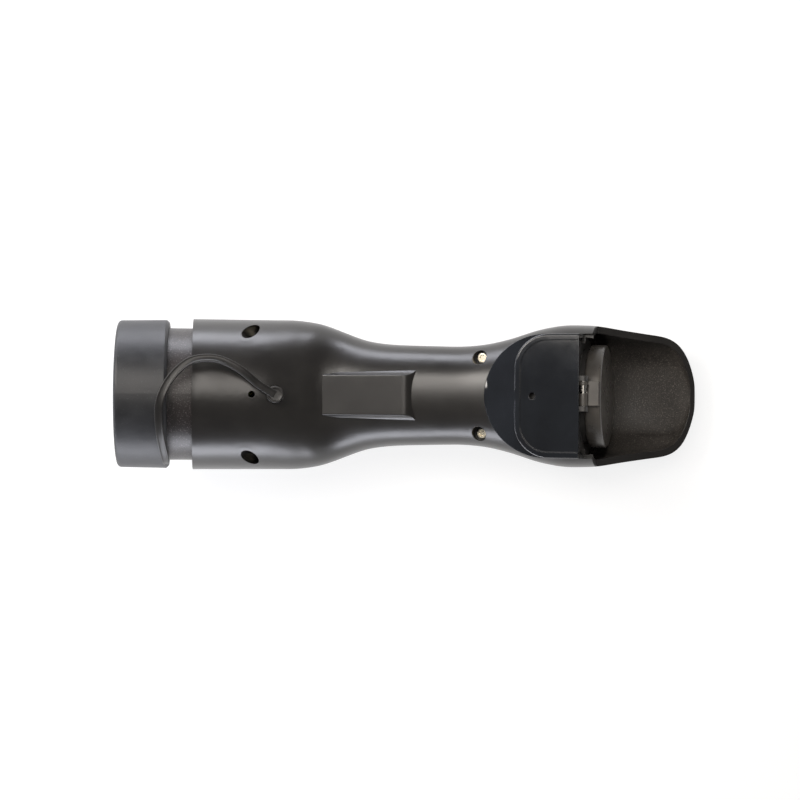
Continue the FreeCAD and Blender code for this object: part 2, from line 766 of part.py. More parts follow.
def shell_pair():
    """The two half shells, moulded about one cavity and split at the parting surface."""
    outer = body_form(0.0, 0.0, 0.0)
    inner = body_form(WALL, HOOD_WALL, HOOD_TIP_WALL, BARREL_FRONT + OVERLAP)
    wall = outer.cut(inner)

    shell_screws = barrel_screws + grip_screws
    added = []
    for x, y, seat in shell_screws:
        added.append(rod(COLUMN_R, -PAST, PAST, x, y))
    for x, y in post_places:
        added.append(rod(BOARD_POST_R, -PAST, board_face, x, y))
    added.append(rod(BUTTON_FLANGE_R + RUN_GAP + GUIDE_WALL, -PAST, guide_top, BUTTON_X))
    added = [piece.common(outer) for piece in added]
    in_wall = barrel_r - WALL / 2.0
    added.append(on_nose(tube(in_wall, NOSE_R + SEAT_GAP, lip_back, BARREL_FRONT)))
    added.append(on_nose(tube(in_wall, barrel_bore - RIB_HEIGHT, rib_back, rib_front)))
    rib_depth = WALL + BULKHEAD_RIB_HEIGHT
    behind = bulkhead_x - SEAT_GAP - BULKHEAD_RIB
    added.append(bulkhead_ring(WALL / 2.0, rib_depth, behind, BULKHEAD_RIB))
    added.append(bulkhead_ring(WALL / 2.0, rib_depth, bulkhead_front + SEAT_GAP, BULKHEAD_RIB))
    wall = wall.multiFuse(added)

    front = nose_point(PAST, 0.0, 0.0)
    near_space = side_prism([(front.x, front.z), (0.0, 0.0), (PAST, 0.0), (PAST, PAST), (front.x, PAST)])
    near = wall.common(near_space)
    far = wall.cut(near_space)

    near_cuts = [box(SHELL_END, PAST, -PAST, PAST, -PAST, PAST)]
    near_cuts.append(box(bulkhead_x - SEAT_GAP, PAST, -COVER_R, COVER_R, BULKHEAD_STEP, PAST))
    above_rim = [(SHELL_END, PAST), (SHELL_END, 0.0), (hood_tip, -HOOD_TIP_RIM), (PAST, -HOOD_TIP_RIM),
                 (PAST, PAST)]
    far_cuts = [side_prism(above_rim), box(-PAST, PAST, -PAST, PAST, -PAST, -FLOOR_DEPTH)]
    for x, y, seat in shell_screws:
        near_cuts.append(rod(WELL_R, seat, PAST, x, y))
        near_cuts.append(rod(SCREW_SHANK_R + RUN_GAP, -PAST, seat + OVERLAP, x, y))
        far_cuts.append(rod(SCREW_SHANK_R + SEAT_GAP / 2.0, seat - SCREW_LENGTH - RUN_GAP, PAST, x, y))
    for x, y in post_places:
        screw_end = board_face - BOARD_SCREW_LENGTH
        far_cuts.append(rod(BOARD_SCREW_R + SEAT_GAP / 2.0, screw_end, 0.0, x, y))
    far_cuts.append(rod(BUTTON_R + RUN_GAP, -PAST, 0.0, BUTTON_X))
    far_cuts.append(rod(BUTTON_FLANGE_R + RUN_GAP, button_seat, 0.0, BUTTON_X))
    hole = rod_x(KNOB_STEM_R + SEAT_GAP, barrel_r / 2.0, PAST, 0.0, KNOB_S)
    seat = rod_x(KNOB_R + RUN_GAP, knob_seat, PAST, 0.0, KNOB_S)
    drain = rod_x(DRAIN_R, barrel_r / 2.0, PAST, 0.0, BARREL_DRAIN_S)
    near_cuts.append(on_nose(fuse(hole, seat, drain)))
    for y in (-PEG_Y, PEG_Y):
        near_cuts.append(rod(PEG_R + SEAT_GAP, 0.0, PAST, peg_x, y))
    near_cuts.append(cover_outline(-SEAT_GAP, 0.0, PAST).cut(body_form(COVER_SEAT, COVER_SEAT, COVER_SEAT)))
    for tool in near_cuts:
        near = near.cut(tool)
    for tool in far_cuts:
        far = far.cut(tool)

    near = near.fuse(thumb_pad().cut(inner))
    return near, far


def cover():
    """The gloss cover: a ramp up to a raised, rimmed D, hollow below, on two pegs."""
    slab = cover_outline(0.0, 0.0, PAST, cover_end)
    skin = slab.common(body_form(-COVER_PROUD, -COVER_PROUD, -COVER_PROUD))
    ramp_height = cover_top - ramp_base
    ramp = Part.makeCone(COVER_R, COVER_R - RAMP_RUN, ramp_height, Vector(cover_centre, 0, ramp_base))
    ramp = ramp.fuse(rod(COVER_R, 0.0, ramp_base, cover_centre)).common(slab)
    crown = crown_outline(0.0, 0.0, cover_top)
    top_rim = [edge for edge in edges_at(crown, lambda p: near_to(p.z, cover_top))
               if not all(near_to(vertex.Point.x, cover_end) for vertex in edge.Vertexes)]
    crown = crown.makeFillet(CROWN_EDGE, top_rim)
    crown = crown.cut(crown_outline(CROWN_RIM, cover_top - CROWN_SINK, PAST))
    body = skin.multiFuse([ramp, crown])
    hollow = crown_outline(COVER_WALL, 0.0, cover_hollow_top, SHELL_END)
    drop = COVER_WALL * math.hypot(ramp_height, RAMP_RUN) / RAMP_RUN
    under = ramp_base - drop
    hollow_ramp = Part.makeCone(COVER_R, COVER_R - RAMP_RUN, ramp_height, Vector(cover_centre, 0, under))
    hollow_ramp = hollow_ramp.fuse(rod(COVER_R, 0.0, under, cover_centre))
    hollow_ramp = hollow_ramp.common(cover_outline(COVER_WALL, 0.0, cover_hollow_top))
    body = body.cut(hollow).cut(hollow_ramp)
    lining = COVER_SEAT - SEAT_GAP
    body = body.cut(body_form(lining, lining, lining))
    pegs = [rod(PEG_R, peg_end, ramp_base, peg_x, y) for y in (-PEG_Y, PEG_Y)]
    body = body.multiFuse(pegs)
    return body.cut(rod(DRAIN_R, 0.0, PAST, SHELL_END - COVER_DRAIN_BACK))


# Nose, contacts and cap

def nose():
    """The nose's shroud with its flat, its web and the flange that the two shells clamp."""
    shroud = rod(NOSE_R, flange_back, NOSE_FRONT)
    flat_start = BARREL_FRONT + RUN_GAP
    shroud = shroud.cut(box(-PAST, -nose_flat, -PAST, PAST, flat_start, PAST))
    shroud = fuse(shroud, rod(flange_r, flange_back, flange_front))
    bore = rod(nose_bore, web_front, PAST).cut(box(-PAST, NOSE_WALL - nose_flat, -PAST, PAST, 0.0, PAST))
    back = rod(nose_bore, 0.0, web_back)
    opening = rod(carrier_r + SEAT_GAP, 0.0, PAST)
    groove = tube(barrel_r, NOSE_R - SEAL_GROOVE, seal_s - SEAL_GROOVE_HALF, seal_s + SEAL_GROOVE_HALF)
    shroud = shroud.cut(fuse(bore, opening, back)).cut(groove)
    for x, y in carrier_screw_places():
        shroud = shroud.cut(rod(CARRIER_SCREW_R + SEAT_GAP / 2.0, 0.0, carrier_screw_end + RUN_GAP, x, y))
    front = edges_at(shroud, lambda p: near_to(p.z, NOSE_FRONT))
    return on_nose(shroud.makeChamfer(NOSE_CHAMFER, front))


def carrier_screw_places():
    step = carrier_screw_circle * math.sqrt(0.5)
    return [(x, y) for x in (-step, step) for y in (-step, step)]


def power_places():
    return [(0.0, -POWER_PITCH), (0.0, 0.0), (0.0, POWER_PITCH)]


def signal_places():
    return [(-SIGNAL_OFFSET, -SIGNAL_PITCH), (-SIGNAL_OFFSET, SIGNAL_PITCH)]


def carrier():
    """The insulating block with three power, two signal and two blind positions."""
    block = rod(carrier_r, carrier_back, carrier_front)
    block = block.cut(box(-PAST, -carrier_flat, -PAST, PAST, web_front, PAST))
    block = fuse(block, rod(carrier_flange_r, carrier_back, web_back - SEAT_GAP))
    cuts = []
    collar_front = carrier_back + CONTACT_COLLAR_LENGTH + SEAT_GAP
    for places, tube_r in ((power_places(), POWER_TUBE_R), (signal_places(), SIGNAL_TUBE_R)):
        for x, y in places:
            cuts.append(rod(tube_r + SEAT_GAP, 0.0, contact_front + SEAT_GAP, x, y))
            cuts.append(rod(tube_r - CONTACT_LIP, 0.0, PAST, x, y))
            cuts.append(rod(tube_r + CONTACT_COLLAR_HEIGHT + SEAT_GAP, 0.0, collar_front, x, y))
    for side in (-BLANK_PITCH, BLANK_PITCH):
        cuts.append(rod(POWER_TUBE_R - CONTACT_LIP, carrier_front - BLANK_DEPTH, PAST, BLANK_OFFSET, side))
    for x, y in carrier_screw_places():
        cuts.append(rod(CARRIER_SCREW_R + RUN_GAP, 0.0, PAST, x, y))
    for tool in cuts:
        block = block.cut(tool)
    return on_nose(block)


def retainer():
    """The plate that keeps the contacts in their carrier."""
    plate = rod(carrier_flange_r, retainer_back, retainer_front)
    for x, y in power_places():
        plate = plate.cut(rod(POWER_CRIMP_R + SEAT_GAP, 0.0, PAST, x, y))
    for x, y in signal_places():
        plate = plate.cut(rod(SIGNAL_CRIMP_R + SEAT_GAP, 0.0, PAST, x, y))
    for x, y in carrier_screw_places():
        plate = plate.cut(rod(CARRIER_SCREW_R + RUN_GAP, 0.0, PAST, x, y))
    return on_nose(plate)


def contact(place, tube_r, bore_r, crimp_r, lead_r):
    """A turned socket contact with a locating collar and a crimp for its lead."""
    collar = tube_r + CONTACT_COLLAR_HEIGHT
    collar_front = carrier_back + CONTACT_COLLAR_LENGTH
    bore_floor = contact_front - CONTACT_BORE_LENGTH
    lead = lead_r + SEAT_GAP / 2.0
    profile = [(lead, crimp_back), (crimp_r, crimp_back), (crimp_r, carrier_back), (collar, carrier_back),
               (collar, collar_front), (tube_r, collar_front), (tube_r, contact_front),
               (bore_r, contact_front), (bore_r, bore_floor), (0.0, bore_floor), (0.0, crimp_floor),
               (lead, crimp_floor)]
    piece = turned(profile)
    piece.translate(Vector(place[0], place[1], 0.0))
    return on_nose(piece)


def seal():
    radius = NOSE_R - SEAL_GROOVE + SEAL_WIRE_R + SEAT_GAP / 2.0
    return on_nose(Part.makeTorus(radius, SEAL_WIRE_R, Vector(0, 0, seal_s)))


def strap_points():
    points = []
    for s, degrees, lift in STRAP_PATH:
        angle = math.radians(degrees)
        radius = barrel_r + lift
        points.append(nose_point(s, radius * math.sin(angle), radius * math.cos(angle)))
    return points


def dust_cap():
    """The rubber cap, a cup with a soft edge, a ring that fills the nose and a lug for its strap."""
    outline = [(0.0, cap_rim), (cap_rim_r, cap_rim), (cap_top_r, cap_front), (0.0, cap_front)]
    cup = turned(outline)
    cup = cup.makeFillet(CAP_EDGE, edges_at(cup, lambda p: near_to(p.z, cap_front) and p.x > NOSE_R))
    cup = cup.makeChamfer(CAP_RIM_EDGE, edges_at(cup, lambda p: near_to(p.z, cap_rim) and p.x > NOSE_R))
    points = strap_points()
    heading = points[1] - points[0]
    heading.normalize()
    lug = Part.makeCylinder(LUG_R, LUG_LENGTH, points[0] - heading * (LUG_LENGTH / 2.0), heading)
    cap = on_nose(cup).fuse(lug)
    cap = cap.cut(on_nose(rod(NOSE_R + RUN_GAP, 0.0, cap_inside)))
    plug_r = nose_bore - RUN_GAP
    plug = tube(plug_r, plug_r - CAP_PLUG_WALL, cap_inside - CAP_PLUG_LENGTH, cap_inside + OVERLAP)
    plug = plug.cut(box(-PAST, NOSE_WALL + RUN_GAP - nose_flat, -PAST, PAST, 0.0, PAST))
    cap = cap.fuse(on_nose(plug))
    socket = Part.makeCylinder(STRAP_R + SEAT_GAP, PAST, points[0] - heading * SEAT_GAP, heading)
    return cap.cut(socket)


def strap():
    """The strap from the cap's lug to a knob in the barrel."""
    points = strap_points()
    band = bent_tube(points, STRAP_R)
    end = nose_point(KNOB_S, 0.0, knob_seat + KNOB_HEIGHT / 2.0)
    heading = end - points[-1]
    last = Part.makeCylinder(STRAP_R, heading.Length, points[-1], heading)
    turn = Part.makeSphere(STRAP_R, points[-1])
    head_base = knob_seat + SEAT_GAP
    crown = head_base + KNOB_HEIGHT
    head = rod_x(KNOB_R, head_base, crown, 0.0, KNOB_S)
    head = head.makeFillet(KNOB_EDGE, edges_at(head, lambda p: near_to(p.x, crown)))
    stem = rod_x(KNOB_STEM_R, knob_bulb_back, head_base + OVERLAP, 0.0, KNOB_S)
    bulb = rod_x(KNOB_BULB_R, knob_bulb_back, knob_bulb_back + KNOB_BULB_LENGTH, 0.0, KNOB_S)
    knob = on_nose(fuse(head, stem, bulb))
    return band.multiFuse([last, turn, knob])


# Socket insert

def socket_insert():
    """The socket's collar and recess, the chamber behind it, its bulkhead and the lid's hinge ears."""
    profile = [(0.0, plate_back), (chamber_r, plate_back), (chamber_r, insert_back), (insert_r, insert_back),
               (insert_r, bulkhead_x), (collar_r, bulkhead_front), (collar_r, mouth_x), (RECESS_R, mouth_x),
               (RECESS_R, recess_floor), (0.0, recess_floor)]
    insert = turned_x(profile)
    bulkhead = Part.Face(body_wire(bulkhead_x, WALL + BULKHEAD_FIT)).extrude(Vector(BULKHEAD_LENGTH, 0, 0))
    bulkhead = bulkhead.cut(box(0.0, PAST, -PAST, PAST, BULKHEAD_STEP, PAST))
    step_half = COVER_R - COVER_PROUD - COVER_WALL - SEAT_GAP
    step = box(bulkhead_x, bulkhead_front, -step_half, step_half, BULKHEAD_STEP, bulkhead_top)
    bulkhead = bulkhead.fuse(step).cut(rod_x(collar_r - OVERLAP, 0.0, PAST))
    ears = []
    for y in (HINGE_Y - HINGE_HALF - KNUCKLE_GAP - EAR_LENGTH, HINGE_Y + HINGE_HALF + KNUCKLE_GAP):
        ears.append(rod_y(KNUCKLE_R, y, y + EAR_LENGTH, hinge_x, hinge_z))
        ears.append(box(bulkhead_front - OVERLAP, hinge_x, y, y + EAR_LENGTH, ear_base, hinge_z + KNUCKLE_R))
    bosses = [rod_x(PIVOT_R, shutter_back - SEAT_GAP, recess_floor - OVERLAP)]
    for y, z in socket_screw_places:
        bosses.append(rod_x(SOCKET_BOSS_R, block_front + SEAT_GAP, recess_floor - OVERLAP, y, z))
    insert = insert.multiFuse([bulkhead] + ears + bosses)
    cuts = []
    for y in (-PIN_PITCH, PIN_PITCH):
        cuts.append(rod_x(PIN_HOLE_R, 0.0, PAST, y))
    for side in (-1.0, 1.0):
        inner = side * (earth_reach - EARTH_THICKNESS - EARTH_BUMP - RUN_GAP)
        outer = side * chamber_r
        half = EARTH_HALF_WIDTH + RUN_GAP
        cuts.append(box(0.0, earth_arm_end + RUN_GAP, -half, half, min(inner, outer), max(inner, outer)))
    for y, z in socket_screw_places:
        cuts.append(rod_x(SOCKET_SCREW_R, 0.0, back_face + SOCKET_SCREW_LENGTH + RUN_GAP, y, z))
    cuts.append(rod_y(HINGE_PIN_R + SEAT_GAP / 2.0, -PAST, PAST, hinge_x, hinge_z))
    for tool in cuts:
        insert = insert.cut(tool)
    return insert


def shutter():
    """The disc whose two holes come into line with the socket's when a plug turns it."""
    disc = rod_x(SHUTTER_R, shutter_back, plate_back - SEAT_GAP)
    cuts = [rod_x(PIVOT_R + SEAT_GAP, 0.0, PAST),
            rod_x(SHUTTER_RECESS_R, 0.0, shutter_back + SHUTTER_RECESS)]
    angle = math.radians(SHUTTER_TURN)
    for side in (-1.0, 1.0):
        y = side * PIN_PITCH * math.cos(angle)
        z = side * PIN_PITCH * math.sin(angle)
        cuts.append(rod_x(SHUTTER_HOLE_R, 0.0, PAST, y, z))
    for tool in cuts:
        disc = disc.cut(tool)
    return disc


def contact_block():
    """The disc that carries the two pin clips, notched for the earth clip's arms."""
    disc = rod_x(chamber_r - SEAT_GAP, block_back, block_front)
    cuts = []
    for y in (-PIN_PITCH, PIN_PITCH):
        cuts.append(rod_x(PIN_HOLE_R, 0.0, PAST, y))
        cuts.append(rod_x(CLIP_R + SEAT_GAP, 0.0, clip_front + SEAT_GAP, y))
    for y, z in socket_screw_places:
        cuts.append(rod_x(SOCKET_SCREW_R + SEAT_GAP, 0.0, PAST, y, z))
    half = EARTH_HALF_WIDTH + RUN_GAP
    inner = earth_reach - EARTH_THICKNESS - RUN_GAP
    cuts.append(box(0.0, PAST, -half, half, inner, PAST))
    cuts.append(box(0.0, PAST, -half, half, -PAST, -inner))
    for tool in cuts:
        disc = disc.cut(tool)
    return disc


def pin_clip(y):
    """A round clip for one pin, with a crimp for its lead."""
    lead = POWER_LEAD_R + SEAT_GAP / 2.0
    bore_floor = clip_back + CLIP_FLOOR
    profile = [(lead, terminal_back), (TERMINAL_R, terminal_back), (TERMINAL_R, clip_back),
               (CLIP_R, clip_back), (CLIP_R, clip_front), (CLIP_BORE_R, clip_front),
               (CLIP_BORE_R, bore_floor), (0.0, bore_floor), (0.0, lead_end), (lead, lead_end)]
    clip = turned_x(profile, y)
    slot = box(bore_floor + CLIP_FLOOR, PAST, y - PAST, y + PAST, -CLIP_SLOT / 2.0, CLIP_SLOT / 2.0)
    return clip.cut(slot)


def earth_clip():
    """A sprung strip with two arms that rest level with the recess wall, and a crimp for its lead."""
    base_front = block_back - SEAT_GAP
    base_back = base_front - EARTH_THICKNESS
    half = EARTH_HALF_WIDTH
    inner = earth_reach - EARTH_THICKNESS
    bump_end = earth_arm_end - EARTH_BUMP_BACK
    bump_start = bump_end - EARTH_BUMP_LENGTH
    pieces = [box(base_back, base_front, -half, half, -earth_reach, earth_reach)]
    for side in (-1.0, 1.0):
        low = min(side * inner, side * earth_reach)
        pieces.append(box(base_back, earth_arm_end, -half, half, low, low + EARTH_THICKNESS))
        peak = side * (inner - EARTH_BUMP)
        middle = side * (inner + EARTH_THICKNESS / 2.0)
        corners = [(bump_start, side * inner), ((bump_start + bump_end) / 2.0, peak),
                   (bump_end, side * inner), (bump_end, middle), (bump_start, middle)]
        pieces.append(side_prism(corners, half))
    lead = POWER_LEAD_R + SEAT_GAP / 2.0
    crimp_outer = rod_x(TERMINAL_R, terminal_back, base_back + EARTH_THICKNESS / 2.0, 0.0, EARTH_LEAD_Z)
    crimp_inner = rod_x(lead, 0.0, base_back + EARTH_THICKNESS / 2.0, 0.0, EARTH_LEAD_Z)
    pieces.append(crimp_outer.cut(crimp_inner))
    return fuse(*pieces)


def socket_back():
    """The rear cover of the socket, with a spigot that presses the block home and three lead holes."""
    disc = rod_x(chamber_r + BACK_LIP, back_face, insert_back - SEAT_GAP)
    outer = chamber_r - SEAT_GAP
    spigot_end = block_back - 2.0 * SEAT_GAP - EARTH_THICKNESS
    spigot = rod_x(outer, back_face, spigot_end).cut(rod_x(outer - SPIGOT_WALL, back_face, PAST))
    back = fuse(disc, spigot)
    cuts = [rod_x(TERMINAL_R + SEAT_GAP, 0.0, PAST, 0.0, EARTH_LEAD_Z)]
    for y in (-PIN_PITCH, PIN_PITCH):
        cuts.append(rod_x(TERMINAL_R + SEAT_GAP, 0.0, PAST, y))
    for y, z in socket_screw_places:
        cuts.append(rod_x(SOCKET_SCREW_R + SEAT_GAP, 0.0, PAST, y, z))
    for tool in cuts:
        back = back.cut(tool)
    return back


# Lid

def lid():
    """The sprung lid: a cup over the socket's collar with a hinge block at its near side."""
    cup = rod_x(lid_r, lid_back, lid_front)
    cup = cup.makeFillet(LID_EDGE, edges_at(cup, lambda p: near_to(p.x, lid_front)))
    cup = cup.makeFillet(LID_BACK_EDGE, edges_at(cup, lambda p: near_to(p.x, lid_back)))
    y0 = HINGE_Y - HINGE_HALF
    y1 = HINGE_Y + HINGE_HALF
    block = box(hinge_x, lid_front - LID_EDGE / 2.0, y0, y1, lid_skirt_r - LID_WALL, hinge_z)
    knuckle = rod_y(KNUCKLE_R, y0, y1, hinge_x, hinge_z)
    body = cup.multiFuse([block, knuckle])
    body = body.cut(rod_x(lid_skirt_r, 0.0, lid_inside))
    body = body.cut(rod_y(HINGE_PIN_R + SEAT_GAP, -PAST, PAST, hinge_x, hinge_z))
    spring_room = KNUCKLE_R + RUN_GAP
    notch = box(hinge_x - spring_room, hinge_x + spring_room, HINGE_Y, HINGE_Y + LID_SPRING_LENGTH + RUN_GAP,
                lid_r + SEAT_GAP, PAST)
    return body.cut(notch)


def gasket():
    return rod_x(collar_r - SEAT_GAP, lid_inside - GASKET_LENGTH, lid_inside).cut(
        rod_x(RECESS_R - GASKET_LIP, 0.0, PAST))


# Button, board and leads

def push_button():
    """The start button, kept by its flange and pressed on the switch by its nub."""
    outer_face = -along(far_side, BUTTON_X) - BUTTON_PROUD
    flange_top = flange_base + BUTTON_FLANGE_LENGTH
    key = rod(BUTTON_R, outer_face, flange_base + OVERLAP, BUTTON_X)
    key = key.makeFillet(BUTTON_EDGE, edges_at(key, lambda p: near_to(p.z, outer_face)))
    flange = rod(BUTTON_FLANGE_R, flange_base, flange_top, BUTTON_X)
    nub = rod(BUTTON_NUB_R, flange_base, switch_tip - BUTTON_TRAVEL - SEAT_GAP, BUTTON_X)
    return fuse(key, flange, nub)


def microswitch():
    case = box(BUTTON_X - SWITCH_HALF, BUTTON_X + SWITCH_HALF, -SWITCH_HALF, SWITCH_HALF,
               switch_base - SWITCH_HEIGHT, switch_base)
    return fuse(case, rod(SWITCH_NUB_R, switch_tip, switch_base - OVERLAP, BUTTON_X))


def board():
    """The control board with its lead terminal and one chip."""
    plate = box(board_start, board_end, -BOARD_HALF_WIDTH, BOARD_HALF_WIDTH, board_face, board_top)
    inside = board_top - OVERLAP
    terminal = box(terminal_x, terminal_x + TERMINAL_LENGTH, -TERMINAL_HALF, TERMINAL_HALF, inside,
                   board_top + TERMINAL_HEIGHT)
    chip_x = board_start + CHIP_INSET
    chip_top = board_top + CHIP_HEIGHT
    chip = box(chip_x - CHIP_HALF, chip_x + CHIP_HALF, -CHIP_HALF, CHIP_HALF, inside, chip_top)
    plate = fuse(plate, terminal, chip)
    cuts = []
    for x, y in post_places:
        cuts.append(rod(BOARD_SCREW_R + SEAT_GAP, -PAST, PAST, x, y))
    for y in (-TERMINAL_PITCH, TERMINAL_PITCH):
        cuts.append(rod_x(SIGNAL_LEAD_R + SEAT_GAP / 2.0, 0.0, terminal_floor, y, terminal_z))
        cuts.append(rod(RESISTOR_LEAD_R + SEAT_GAP, -PAST, PAST, board_start + RESISTOR_INSET, y))
    for tool in cuts:
        plate = plate.cut(tool)
    return plate


def resistor():
    """The resistor that tells the car what is plugged in, on two bent legs."""
    x = board_start + RESISTOR_INSET
    level = board_top + RESISTOR_RISE
    low = board_top - RESISTOR_LEG_DEPTH
    y = TERMINAL_PITCH
    legs = bent_tube([Vector(x, -y, low), Vector(x, -y, level), Vector(x, y, level), Vector(x, y, low)],
                     RESISTOR_LEAD_R)
    return legs.fuse(rod_y(RESISTOR_R, -RESISTOR_HALF, RESISTOR_HALF, x, level))


def power_lead(nose_y, socket_y, socket_z):
    """A lead from a power contact's crimp to a socket clip's."""
    start = nose_point(crimp_floor - RUN_GAP, nose_y, 0.0)
    bend = nose_point(LEAD_BEND_S, nose_y, 0.0)
    level = Vector(LEAD_LEVEL_X, socket_y, socket_z)
    end = Vector(lead_end - RUN_GAP, socket_y, socket_z)
    return bent_tube([start, bend, level, end], POWER_LEAD_R)


def signal_lead(nose_y, board_y):
    """A lead from a signal contact's crimp to the board's terminal."""
    start = nose_point(crimp_floor - RUN_GAP, nose_y, -SIGNAL_OFFSET)
    bend = nose_point(SIGNAL_BEND_S, nose_y, -SIGNAL_OFFSET)
    level = Vector(SIGNAL_LEVEL_X, board_y, terminal_z)
    end = Vector(terminal_floor - RUN_GAP, board_y, terminal_z)
    return bent_tube([start, bend, level, end], SIGNAL_LEAD_R)


def build_parts():
    """All pieces by name, about the bend."""
    parts = {}
    parts["screw_shell"], parts["hood_shell"] = shell_pair()
    parts["socket_cover"] = cover()
    down = Vector(0, 0, -1)
    lobes = lobe_recess(SCREW_HEAD_HEIGHT)
    for name, places in (("barrel_screws", barrel_screws), ("grip_screws", grip_screws)):
        group = [screw(SCREW_HEAD_R, SCREW_HEAD_HEIGHT, SCREW_SHANK_R, SCREW_LENGTH, Vector(*place), down,
                       lobes) for place in places]
        parts[name] = Part.makeCompound(group)
    parts["connector_nose"] = nose()
    parts["nose_seal"] = seal()
    parts["contact_carrier"] = carrier()
    parts["contact_retainer"] = retainer()
    forward = nose_point(1.0, 0.0, 0.0)
    recess = plain_recess(CARRIER_SCREW_HEAD_R, CARRIER_SCREW_HEAD_HEIGHT)
    length = carrier_screw_end - retainer_back
    group = []
    for x, y in carrier_screw_places():
        seat = nose_point(retainer_back - SEAT_GAP / 2.0, y, x)
        group.append(screw(CARRIER_SCREW_HEAD_R, CARRIER_SCREW_HEAD_HEIGHT, CARRIER_SCREW_R, length, seat,
                           forward, recess))
    parts["carrier_screws"] = Part.makeCompound(group)
    power = (POWER_TUBE_R, POWER_BORE_R, POWER_CRIMP_R, POWER_LEAD_R)
    signal = (SIGNAL_TUBE_R, SIGNAL_BORE_R, SIGNAL_CRIMP_R, SIGNAL_LEAD_R)
    neutral_place, earth_place, line_place = power_places()
    parts["neutral_contact"] = contact(neutral_place, *power)
    parts["earth_contact"] = contact(earth_place, *power)
    parts["line_contact"] = contact(line_place, *power)
    pilot_place, proximity_place = signal_places()
    parts["pilot_contact"] = contact(pilot_place, *signal)
    parts["proximity_contact"] = contact(proximity_place, *signal)
    parts["dust_cap"] = dust_cap()
    parts["cap_tether"] = strap()
    parts["socket_body"] = socket_insert()
    parts["socket_shutter"] = shutter()
    parts["shutter_spring"] = coil(SHUTTER_SPRING_R, SHUTTER_SPRING_PITCH, 1, Vector(1, 0, 0),
                                   Vector(shutter_back, 0, 0))
    parts["contact_block"] = contact_block()
    parts["socket_neutral_clip"] = pin_clip(-PIN_PITCH)
    parts["socket_line_clip"] = pin_clip(PIN_PITCH)
    parts["earth_clip"] = earth_clip()
    parts["socket_back"] = socket_back()
    recess = plain_recess(SOCKET_SCREW_HEAD_R, SOCKET_SCREW_HEAD_HEIGHT)
    group = [screw(SOCKET_SCREW_HEAD_R, SOCKET_SCREW_HEAD_HEIGHT, SOCKET_SCREW_R - SEAT_GAP / 2.0,
                   SOCKET_SCREW_LENGTH, Vector(back_face, y, z), Vector(1, 0, 0), recess)
             for y, z in socket_screw_places]
    parts["socket_screws"] = Part.makeCompound(group)
    parts["socket_lid"] = lid()
    parts["lid_gasket"] = gasket()
    pin_half = HINGE_HALF + KNUCKLE_GAP + EAR_LENGTH
    parts["lid_hinge_pin"] = rod_y(HINGE_PIN_R, HINGE_Y - pin_half, HINGE_Y + pin_half, hinge_x, hinge_z)
    turns = round(LID_SPRING_LENGTH / LID_SPRING_PITCH - 0.5)
    parts["lid_spring"] = coil(LID_SPRING_R, LID_SPRING_PITCH, turns, Vector(0, 1, 0),
                               Vector(hinge_x, HINGE_Y + RUN_GAP, hinge_z))
    parts["push_button"] = push_button()
    spring_base = flange_base + BUTTON_FLANGE_LENGTH
    spring_height = board_face - spring_base - SPRING_WIRE
    parts["button_spring"] = coil(BUTTON_SPRING_R, spring_height / BUTTON_SPRING_TURNS, BUTTON_SPRING_TURNS,
                                  Vector(0, 0, 1), Vector(BUTTON_X, 0, spring_base))
    parts["microswitch"] = microswitch()
    parts["control_board"] = board()
    recess = plain_recess(BOARD_SCREW_HEAD_R, BOARD_SCREW_HEAD_HEIGHT)
    group = [screw(BOARD_SCREW_HEAD_R, BOARD_SCREW_HEAD_HEIGHT, BOARD_SCREW_R, BOARD_SCREW_LENGTH,
                   Vector(x, y, board_top), down, recess) for x, y in post_places]
    parts["board_screws"] = Part.makeCompound(group)
    parts["coding_resistor"] = resistor()
    parts["neutral_wire"] = power_lead(-POWER_PITCH, -PIN_PITCH, 0.0)
    parts["earth_wire"] = power_lead(0.0, 0.0, EARTH_LEAD_Z)
    parts["line_wire"] = power_lead(POWER_PITCH, PIN_PITCH, 0.0)
    parts["pilot_wire"] = signal_lead(-SIGNAL_PITCH, -TERMINAL_PITCH)
    parts["proximity_wire"] = signal_lead(SIGNAL_PITCH, TERMINAL_PITCH)
    return parts


def origin_shift():
    """Moves the middle of the object's footprint to the origin and its lowest face to the floor."""
    corner = nose_point(cap_front - CAP_EDGE, 0.0, CAP_EDGE - cap_top_r)
    low_x = corner.x - CAP_EDGE
    return Vector(-(low_x + hood_tip) / 2.0, 0.0, FLOOR_DEPTH)


if __name__ == "__main__":
    os.makedirs("parts", exist_ok=True)
    for name, shape in build_parts().items():
        shape.translate(origin_shift())
        shape.exportStep("parts/" + name + ".step")
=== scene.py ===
import json
import math

import bmesh
import bpy
from mathutils import Matrix, Vector
from mathutils.bvhtree import BVHTree
from mathutils.interpolate import poly_3d_calc


